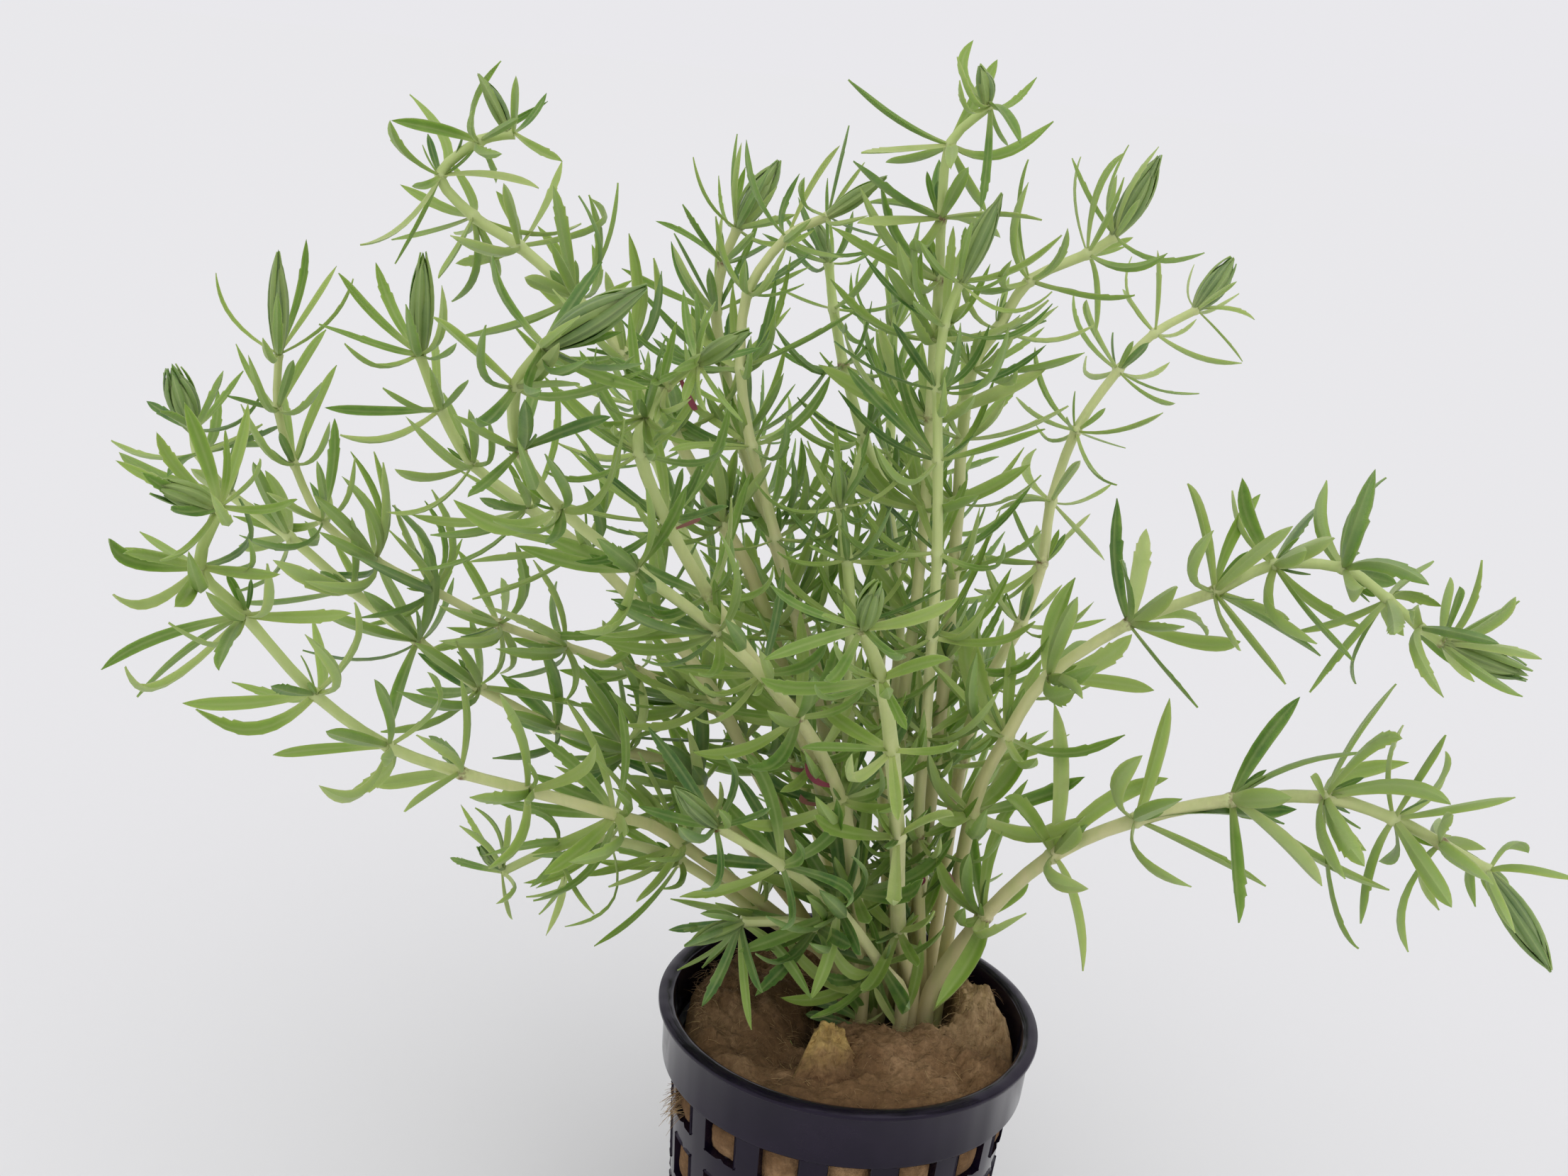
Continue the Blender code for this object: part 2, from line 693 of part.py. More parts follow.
def sides_between(bm, low, high, skip=()):
    for k in range(STEM_SIDES):
        if k not in skip:
            after = (k + 1) % STEM_SIDES
            bm.faces.new((low[k], low[after], high[after], high[k]))


def side_for_each(leaves, frame):
    """Gives each leaf the free side of the stem that faces most nearly its way."""
    _, sideways, other = frame
    fits = []
    for number, leaf in enumerate(leaves):
        out = (leaf.middle - leaf.start).normalized()
        for k in range(STEM_SIDES):
            turn = 2 * math.pi * (k + 0.5) / STEM_SIDES
            facing = sideways * math.cos(turn) + other * math.sin(turn)
            fits.append((-facing.dot(out), number, k))
    chosen = {}
    for _, number, k in sorted(fits):
        if number not in chosen and k not in chosen.values():
            chosen[number] = k
    return chosen


def grow_leaf(bm, leaf, low, high, k):
    """A blade out of one side of the stem's node: flat above, keeled below, narrowing to its tip."""
    after = (k + 1) % STEM_SIDES
    lower_left, lower_right, upper_right, upper_left = low[k], low[after], high[after], high[k]
    if leaf.plain:
        corners = (lower_left, lower_right, upper_right, upper_left)
        tip = bm.verts.new(leaf.tip * MM)
        for a, b in zip(corners, corners[1:] + corners[:1]):
            bm.faces.new((a, b, tip))
        return
    left, right, keel = leaf.section()
    if (upper_right.co - upper_left.co).dot(right - left) < 0:
        left, right = right, left
    left, right, keel = (bm.verts.new(corner * MM) for corner in (left, right, keel))
    tip = bm.verts.new(leaf.tip * MM)
    bm.faces.new((lower_left, lower_right, keel))
    bm.faces.new((lower_right, upper_right, right, keel))
    bm.faces.new((upper_right, upper_left, left, right))
    bm.faces.new((upper_left, lower_left, keel, left))
    bm.faces.new((keel, right, tip))
    bm.faces.new((right, left, tip))
    bm.faces.new((left, keel, tip))


def shoot_mesh(shoot):
    bm = bmesh.new()
    below = ring(bm, shoot.points[0], shoot.frames[0], shoot.radii[0])
    bm.faces.new(tuple(reversed(below)))
    neck = ring(bm, shoot.points[1], shoot.frames[1], shoot.radii[1])
    sides_between(bm, below, neck)
    below = neck
    for index, leaves in enumerate(shoot.leaves):
        centre, frame, _ = shoot.whorl(index)
        radius = shoot.radii[index + 2] * NODE_SWELL
        half = frame[0] * NODE_LENGTH / 2
        low = ring(bm, centre - half, frame, radius)
        high = ring(bm, centre + half, frame, radius)
        sides_between(bm, below, low)
        chosen = side_for_each(leaves, frame)
        sides_between(bm, low, high, chosen.values())
        for number, k in chosen.items():
            grow_leaf(bm, leaves[number], low, high, k)
        below = high
    base, tip = shoot.points[-2:]
    belly = ring(bm, base + (tip - base) * 0.42, shoot.frames[-1], shoot.bud_width / 2)
    sides_between(bm, below, belly)
    point = bm.verts.new(tip * MM)
    for k in range(STEM_SIDES):
        bm.faces.new((belly[k], belly[(k + 1) % STEM_SIDES], point))
    return bm


def pot_rings():
    """The pot's section as (radius, height, starts a window row), up the outside and down the inside."""
    outer = [(0.0, False)]
    for low, high in WINDOW_ROWS:
        outer += [(low, True), (high, False)]
    outer.append((BAND_BOTTOM, False))
    slope = (POT_WALL_TOP_RADIUS - POT_FOOT_RADIUS) / BAND_BOTTOM
    rings = [(POT_FOOT_RADIUS + slope * height, height, window) for height, window in outer]
    lip_bottom = POT_HEIGHT - LIP_DEPTH
    rings += [
        (BAND_LOW_RADIUS, BAND_BOTTOM, False),
        (BAND_TOP_RADIUS, lip_bottom, False),
        (LIP_RADIUS, lip_bottom + 0.4, False),
        (LIP_RADIUS - 0.5, POT_HEIGHT, False),
        (LIP_INNER_RADIUS, POT_HEIGHT - 0.2, False),
        (BAND_LOW_RADIUS - POT_WALL, BAND_BOTTOM + POT_FLOOR, False),
    ]
    inner = [(BAND_BOTTOM + POT_FLOOR, False)]
    for low, high in reversed(WINDOW_ROWS):
        inner += [(high, True), (low, False)]
    inner.append((POT_FLOOR, False))
    rings += [(POT_FOOT_RADIUS + slope * height - POT_WALL, height, window) for height, window in inner]
    return rings


def pot_angles():
    """The edges of the windows round the pot, as pairs."""
    half = math.radians(WINDOW_DEGREES) / 2
    angles = []
    for k in range(WINDOWS_AROUND):
        centre = math.radians(FIRST_WINDOW_DEGREES) + 2 * math.pi * k / WINDOWS_AROUND
        angles += [centre - half, centre + half]
    return angles


def net_pot_mesh():
    bm = bmesh.new()
    rings = pot_rings()
    angles = pot_angles()
    count = len(angles)
    rows = []
    for radius, height, _ in rings:
        rows.append([
            bm.verts.new(Vector((radius * math.cos(a), radius * math.sin(a), height)) * MM) for a in angles
        ])
    for i in range(len(rows) - 1):
        for k in range(count):
            if rings[i][2] and k % 2 == 0:
                continue
            after = (k + 1) % count
            bm.faces.new((rows[i][k], rows[i][after], rows[i + 1][after], rows[i + 1][k]))
    bm.faces.new(tuple(reversed(rows[0])))
    bm.faces.new(tuple(rows[-1]))
    last = len(rows) - 1
    for i in range(len(rows) // 2):
        if not rings[i][2]:
            continue
        for k in range(0, count, 2):
            line_window(bm, rows[i], rows[i + 1], rows[last - i - 1], rows[last - i], k)
    bmesh.ops.recalc_face_normals(bm, faces=bm.faces)
    return bm


def line_window(bm, out_low, out_high, in_high, in_low, k):
    """The four faces through the wall round one window."""
    after = (k + 1) % len(out_low)
    bm.faces.new((out_low[k], out_low[after], in_low[after], in_low[k]))
    bm.faces.new((out_high[after], out_high[k], in_high[k], in_high[after]))
    bm.faces.new((out_low[after], out_high[after], in_high[after], in_low[after]))
    bm.faces.new((out_high[k], out_low[k], in_low[k], in_high[k]))


def wool_height(x, y):
    height = WOOL_TOP
    for lump_x, lump_y, lump_height, spread in WOOL_LUMPS:
        height += lump_height * math.exp(-((x - lump_x) ** 2 + (y - lump_y) ** 2) / (2 * spread * spread))
    return height


def front_share(angle):
    """1 in front, where the wool's top reaches the pot's lip, and 0 at the back."""
    return min(1.0, max(0.0, -1.6 * math.sin(angle) - 0.1))


def rock_wool_mesh():
    """A plug as wide as the basket, with a soft lumpy top that lies open round the shoots."""
    slope = (POT_WALL_TOP_RADIUS - POT_FOOT_RADIUS) / BAND_BOTTOM
    inside = POT_FOOT_RADIUS - POT_WALL - GAP
    wall = [
        (inside + slope * POT_FLOOR, POT_FLOOR + GAP),
        (inside + slope * BAND_BOTTOM, BAND_BOTTOM + POT_FLOOR - GAP),
        (BAND_LOW_RADIUS - POT_WALL - 1.4, BAND_BOTTOM + POT_FLOOR + 1.2),
    ]
    bm = bmesh.new()
    turns = [2 * math.pi * k / WOOL_SIDES for k in range(WOOL_SIDES)]
    rows = [[Vector((r * math.cos(a), r * math.sin(a), z)) for a in turns] for r, z in wall]
    pit = [Vector((PIT_CENTRE[0] + PIT_RADIUS * math.cos(a), PIT_CENTRE[1] + PIT_RADIUS * math.sin(a), 0))
           for a in turns]
    fronts = [front_share(a) for a in turns]
    rim = []
    for a, front in zip(turns, fronts):
        shoulder = WOOL_SHOULDER + (FRONT_SHOULDER - WOOL_SHOULDER) * front
        rim.append(Vector((shoulder * math.cos(a), shoulder * math.sin(a), 0)))
    for share, sink, front_sink in ((0, 2.2, 0.4), (0.15, 0.2, 0), (0.7, 0.1, 0.1), (1, 1.6, 1.6)):
        row = []
        for outer, inner, front in zip(rim, pit, fronts):
            place = outer.lerp(inner, share)
            place.z = wool_height(place.x, place.y) - sink + (sink - front_sink) * front
            row.append(place)
        rows.append(row)
    centre = Vector((*PIT_CENTRE, 0))
    rows.append([centre + (place - centre) * 0.95 + Vector((0, 0, PIT_FLOOR)) for place in pit])
    made = [[bm.verts.new(place * MM) for place in row] for row in rows]
    for low, high in zip(made, made[1:]):
        for k in range(WOOL_SIDES):
            after = (k + 1) % WOOL_SIDES
            bm.faces.new((low[k], low[after], high[after], high[k]))
    bm.faces.new(tuple(reversed(made[0])))
    bm.faces.new(tuple(made[-1]))
    bmesh.ops.recalc_face_normals(bm, faces=bm.faces)
    return bm


def material(name, colour, roughness):
    made = bpy.data.materials.new(name)
    made.use_nodes = True
    shader = made.node_tree.nodes["Principled BSDF"]
    shader.inputs["Base Color"].default_value = (*colour, 1.0)
    shader.inputs["Roughness"].default_value = roughness
    shader.inputs["Metallic"].default_value = 0.0
    return made


def add_object(name, bm, look):
    mesh = bpy.data.meshes.new(name)
    bm.to_mesh(mesh)
    bm.free()
    mesh.materials.append(look)
    mesh.shade_smooth()
    mesh.set_sharp_from_angle(angle=math.radians(40))
    made = bpy.data.objects.new(name, mesh)
    bpy.context.scene.collection.objects.link(made)
    return made


def shape_of(bm):
    bm.verts.index_update()
    corners = [vert.co / MM for vert in bm.verts]
    return corners, [tuple(vert.index for vert in face.verts) for face in bm.faces]


def grow_shoots(still):
    """All shoots, their leaves set where they clear each other, the pot and the wool."""
    stems = keep_apart([stem_points(*row) for row in SHOOTS.values()])
    shoots = [
        Shoot(name, points, row[2], row[3]) for (name, row), points in zip(SHOOTS.items(), stems)
    ]
    chance = random.Random(SEED)
    for seen_ones in (True, False):
        for shoot in shoots:
            others = []
            for other in shoots:
                if other is not shoot:
                    others += other.stem_shapes() + other.leaf_shapes()
            obstacles = [still, joined_tree(others)]
            if seen_ones:
                place_seen_leaves(shoot, obstacles)
            else:
                place_free_leaves(shoot, obstacles, chance)
    return shoots


def main():
    for old in list(bpy.data.objects):
        bpy.data.objects.remove(old)
    pot = net_pot_mesh()
    wool = rock_wool_mesh()
    still = joined_tree([shape_of(pot), shape_of(wool)])
    plastic = material("dark pot plastic", (0.012, 0.011, 0.024), 0.28)
    fibre = material("rock wool", (0.33, 0.23, 0.12), 0.95)
    green = material("pogostemon leaf", (0.16, 0.27, 0.06), 0.55)
    add_object("net_pot", pot, plastic)
    add_object("rock_wool", wool, fibre)
    for shoot in grow_shoots(still):
        add_object(shoot.name, shoot_mesh(shoot), green)


main()
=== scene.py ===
"""The look of a bunch of pogostemon shoots, standing in rock wool in a small net pot.

Tables and sizes are in millimetres, in the frame's own axes: the origin is the centre of the pot's
underside, +Z is up and the front is -Y. The meshes are made in metres.
"""

import json
import math
import random
from collections import namedtuple

import bpy
import numpy as np
from mathutils import Matrix, Vector, noise
from mathutils.kdtree import KDTree

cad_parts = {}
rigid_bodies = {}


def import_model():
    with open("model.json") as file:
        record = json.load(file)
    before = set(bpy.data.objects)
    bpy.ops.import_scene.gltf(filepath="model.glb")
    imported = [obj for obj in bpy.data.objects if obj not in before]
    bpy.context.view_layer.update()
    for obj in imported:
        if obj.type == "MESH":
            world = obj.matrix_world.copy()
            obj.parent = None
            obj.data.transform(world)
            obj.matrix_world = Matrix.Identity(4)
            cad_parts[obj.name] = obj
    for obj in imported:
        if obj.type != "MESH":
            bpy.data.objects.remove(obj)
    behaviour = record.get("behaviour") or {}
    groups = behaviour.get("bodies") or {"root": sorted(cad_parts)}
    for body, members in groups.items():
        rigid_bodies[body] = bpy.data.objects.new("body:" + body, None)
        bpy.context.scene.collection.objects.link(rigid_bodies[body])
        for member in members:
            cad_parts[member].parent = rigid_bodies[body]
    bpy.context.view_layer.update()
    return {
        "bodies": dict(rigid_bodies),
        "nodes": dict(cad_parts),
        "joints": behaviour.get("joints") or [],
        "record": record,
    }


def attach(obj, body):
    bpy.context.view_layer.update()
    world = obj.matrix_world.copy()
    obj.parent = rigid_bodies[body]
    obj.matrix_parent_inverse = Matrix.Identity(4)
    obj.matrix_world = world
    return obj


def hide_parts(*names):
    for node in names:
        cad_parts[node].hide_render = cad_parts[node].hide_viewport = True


MM = 0.001

# Net pot: radii are of the outer faces unless they say inner
POT_HEIGHT = 50.0
POT_FOOT_RADIUS = 21.5
POT_WALL_TOP_RADIUS = 24.0
POT_WALL = 1.1
POT_FLOOR = 1.2
BAND_BOTTOM = 41.1
WALL_SLOPE = (POT_WALL_TOP_RADIUS - POT_FOOT_RADIUS) / BAND_BOTTOM
BAND_LOW_RADIUS = 25.5
BAND_TOP_RADIUS = 25.9
LIP_RADIUS = 26.8
LIP_DEPTH = 1.2
LIP_INNER_RADIUS = 24.5
# The lip's rounded section, from outside underneath over the top to the inside
BEAD_ANGLES = (math.radians(-60), math.radians(175))
BEAD_STEPS = 9
WINDOWS_AROUND = 16
WINDOW_DEGREES = 13.0
FIRST_WINDOW_DEGREES = -87.2
WINDOW_ROWS = ((4.8, 11.2), (14.8, 21.2), (24.8, 31.2), (34.8, 40.6))
STEPS_PER_WINDOW = 12
OPEN_STEPS = 7
POT_EDGE = 0.22

# Rock wool
GAP = 0.35
WOOL_TOP = 48.4
WOOL_SHOULDER = 22.5
FRONT_SHOULDER = 24.3
WINDOW_BULGE = 1.35
PIT_CENTRE = (5.0, 9.0)
PIT_RADIUS = 11.2
PIT_FLOOR = 39.0
SEEN_PIT_FLOOR = 43.0
PIT_SQUARENESS = 3.2
WOOL_AROUND = 168
# Mounds and dips of the wool's top: x, y, height, spread
WOOL_LUMPS = (
    (-15.0, 3.0, 2.4, 5.5),
    (-11.5, -3.0, 1.6, 2.6),
    (18.5, 5.5, 2.6, 3.6),
    (12.0, -7.0, 1.3, 4.0),
    (-6.2, -5.0, -4.6, 2.0),
    (-7.4, -11.0, -3.0, 2.0),
    (3.5, -9.0, 2.2, 3.0),
    (18.6, -4.5, -2.0, 2.2),
    (8.2, -4.4, -1.4, 0.7),
    (-4.8, -0.8, -5.0, 1.7),
    (0.0, 20.0, 0.8, 6.0),
)
# Painted shade darkens its top below a height and on the left, and painted light makes its mound on the right
# pale
DARK_BELOW = 46.6
LEFT_SHADE_SHARE = 0.3
PAINTED_LIGHT_MOUND = (17.5, 5.0, 5.5)
# The flap that stands torn out of it, seen at (across, down, depth): its foot and its top, from left to right
FLAP_FOOT = ((1098, 1552, -21.5), (1168, 1534, -19.5), (1236, 1514, -14.5))
FLAP_TOP = ((1149, 1452, -9.5), (1172, 1443, -9.6), (1198, 1462, -9.2))
FLAP_SUNK = 1.2
FLAP_THICKNESS = 2.2
# The share of its width from which it sinks into the mound
FLAP_MERGES = 0.82
TOP_FIBRES = 5200
FLAP_FIBRES = 150
WISP_FIBRES = 90
# Where the wisp's strands start, by axis
WISP_BOX = ((-22.0, -21.0), (-9.6, -7.4), (35.5, 39.5))
FIBRE_STEPS = 6
FIBRE_TURNS = (0, 2.09, 4.19)
FIBRE_RADII = (0.02, 0.045)
FLAP_FIBRE_RADIUS = 0.035
WISP_FIBRE_RADIUS = 0.06

# Shoots, as the frame has them
FRAME_SEED = 7
STEM_FOOT_RADIUS = 1.1
STEM_TIP_RADIUS = 0.62
STEM_TAPER = 0.8
NODE_SWELL = 1.12
ROOT_CENTRE = (6.2, 10.2)
ROOT_SPACING = 2.85
NECK_HEIGHT = 50.5
STEM_CLEARANCE = 0.35
STEM_SAMPLES = 14
PARTING_ROUNDS = 80
PARTING_STEP = 0.12
LEAF_LENGTH = 17.0
# A young leaf's share of that length, and by how much it grows with each whorl down
YOUNG_LENGTH = 0.72
LENGTH_GAIN = 0.1
LEAF_ANGLE = math.radians(65.0)
LEAF_ARCH = 0.07
# How late along its course a shoot takes on the depth of its tip
DEPTH_LAG = 1.2
# Shares of its length that a seen leaf is tried with, and turns and shares for one that isn't seen
STRETCHES = (1.0, 1.12, 0.9, 1.25, 0.8, 1.4)
TURNS = ((0, 1.0), (0.25, 1.0), (-0.25, 0.95), (0.5, 0.9), (-0.5, 0.85), (0, 0.7))
# Leaves at a smaller angle to each other, in radians, are crowded
CROWDED_ANGLE = 0.7
# A leaf is one of the frame's solid where its tip is this near to a corner of it
CORNER_NEAR = 0.02
LEAVES_PER_WHORL = 5
LEAVES_OUT_OF_SIGHT = 4

# Shoots, as they look
LOOK_SEED = 31
STEM_AROUND = 10
NODE_LENGTH = 0.6
NODE_RISE = 0.28
BROWNED_NODES = 0.22
# The small dark leaves below a shoot's first whorl, and how far up its stem they go
SPROUTS = 9
SPROUT_REACH = 24.0
# Their lean in degrees, length and tone, and those of the small leaves in the axils
SPROUT_LEAVES = ((25, 70), (4.0, 10.0), (0.0, 0.35))
AXIL_LEAVES = ((16, 52), (2.6, 6.8), (0.0, 0.5))
LOW_AXIL_LEAVES = ((16, 52), (3.5, 9.2), (0.0, 0.5))
LEAF_HALF_WIDTH = 0.76
# Shares of it: at the tip of the shoot, by how much it grows with each whorl down, and the most
WHORL_WIDTHS = (0.8, 0.07, 1.1)
# How a leaf varies: its width, how far it is turned to the viewer, its bend and fold, and its notches
WIDTH_RANGE = (0.75, 1.2)
TURNS_TO_VIEWER = (0.0, 0.6)
BENDS = (-0.27, -0.02)
FOLDS = (0.15, 0.65)
NOTCHES = (0, 0, 0, 1, 2)
TONE_SPREAD = 0.23
DARKEST_TONE = 0.06
LEAF_THICKNESS = 0.26
BUD_LEAF_WIDTH = 1.05
BUD_SLIMNESS = 0.86
# A further leaf keeps this angle to the others of its whorl, isn't seen more than this from the side where
# the whorl's own leaves are known, and keeps away from the pot's lip, aside and above
FURTHER_LEAF_SPACING = 0.36
SIDE_VIEW = 0.7
POT_DISTANCE = (1.0, 1.5)
# Its lean in degrees at the tip of the shoot, by how much it grows with each whorl down, and the most
FURTHER_LEAN = (30, 5, 52)
FURTHER_LENGTHS = (0.65, 1.05)
# How each shoot looks: its stem's girth, the leaves of a whorl, their width, how pale they are (0 to 1), how
# far the tips of its bud's leaves stand apart as a share of the bud's width, and whether small dark leaves
# grow on its stem below the first whorl
ShootLook = namedtuple(
    "ShootLook", "girth leaves width tone open_bud leafy_foot", defaults=(0.9, 9, 1.0, 0.42, 0.18, False)
)
SHOOT_LOOKS = {
    "far_left": ShootLook(leaves=13, width=1.22, open_bud=0.75),
    "left_front": ShootLook(leaves=11, width=1.08, tone=0.55, open_bud=0.9),
    "left_upper": ShootLook(girth=0.75, width=0.9, tone=0.58),
    "left_inner": ShootLook(leaves=8, tone=0.52, open_bud=0.5, leafy_foot=True),
    "top_left": ShootLook(leaves=10, tone=0.66),
    "big_bud": ShootLook(width=1.15, leafy_foot=True),
    "middle_front": ShootLook(width=0.8, open_bud=0.6),
    "middle_left": ShootLook(width=0.8, leafy_foot=True),
    "middle_top": ShootLook(girth=0.8, leaves=7, width=0.75, leafy_foot=True),
    "middle_back": ShootLook(width=0.75, tone=0.3, leafy_foot=True),
    "top": ShootLook(girth=0.78, leaves=6, width=1.15, tone=0.58, leafy_foot=True),
    "top_bud": ShootLook(girth=0.78, leaves=7, width=0.8, leafy_foot=True),
    "top_right": ShootLook(leaves=7, width=0.75, tone=0.7, leafy_foot=True),
    "right_upper": ShootLook(girth=0.85, leaves=6, width=0.72, tone=0.84, open_bud=0.7),
    "right": ShootLook(leaves=8, width=1.35, tone=0.56, open_bud=0.8),
    "right_low": ShootLook(girth=1.1, width=1.5, tone=0.6),
    "front": ShootLook(girth=1.1, leaves=7, width=1.15, tone=0.52, open_bud=0.8),
    "front_left": ShootLook(width=1.3, tone=0.06),
    "low_left": ShootLook(leaves=8, width=0.9, tone=0.66, open_bud=0.9),
    "over_rim": ShootLook(width=1.3, tone=0.02),
    "middle": ShootLook(width=0.78, leafy_foot=True),
    "back_left": ShootLook(width=0.78, tone=0.3, leafy_foot=True),
    "back_middle": ShootLook(width=0.78, tone=0.3, leafy_foot=True),
    "back_tall": ShootLook(width=0.75, leafy_foot=True),
    "back_right": ShootLook(leafy_foot=True),
    "back_low": ShootLook(leafy_foot=True),
}
# Places along a blade, the first cut of its notches near the tip, and how pointed the tip is
BLADE_PLACES = [0.0, 0.06, 0.14, 0.24, 0.36, 0.48, 0.6, 0.7, 0.79, 0.87, 0.94, 0.98, 1.0]
FIRST_NOTCH = 0.69
TIP_POWER = 2.9
# A blade's section from its left edge over its upper side and back underneath
BLADE_FLAT = np.array([-1.0, -0.5, 0.0, 0.5, 1.0, 0.5, 0.0, -0.5])
BLADE_LIFT = np.array([1.0, 0.3, 0.0, 0.3, 1.0, 0.3, 0.0, 0.3])
BLADE_SKIN = np.array([0.0, 0.5, 0.25, 0.5, 0.0, -0.4, -1.0, -0.4])

# Studio
PALE = (0.815, 0.808, 0.838)
FLOOR_GREY = 0.8
SUN_FROM = Vector((0.05, -0.42, 0.9))
SUN_WIDTH = math.radians(70)
# The floor's half width and height, in metres
FLOOR_REACH = 6.0
FLOOR_LEVEL = -0.0003

# The shoots' places are read from where a viewer in front of the pot sees them: across and down in the
# pixels of a 2212 x 1659 frame, and then set at a depth, behind (+) or before (-) the pot's axis.
FRAME_WIDTH = 2212.0
FRAME_CENTRE = (1106.0, 829.5)
FOCAL_LENGTH = 2500.0
VIEWER = Vector((-15.15, -220.2, 180.3))
LOOK_DOWN = math.radians(17.7)
FRAME_LEAN = math.radians(6.0)

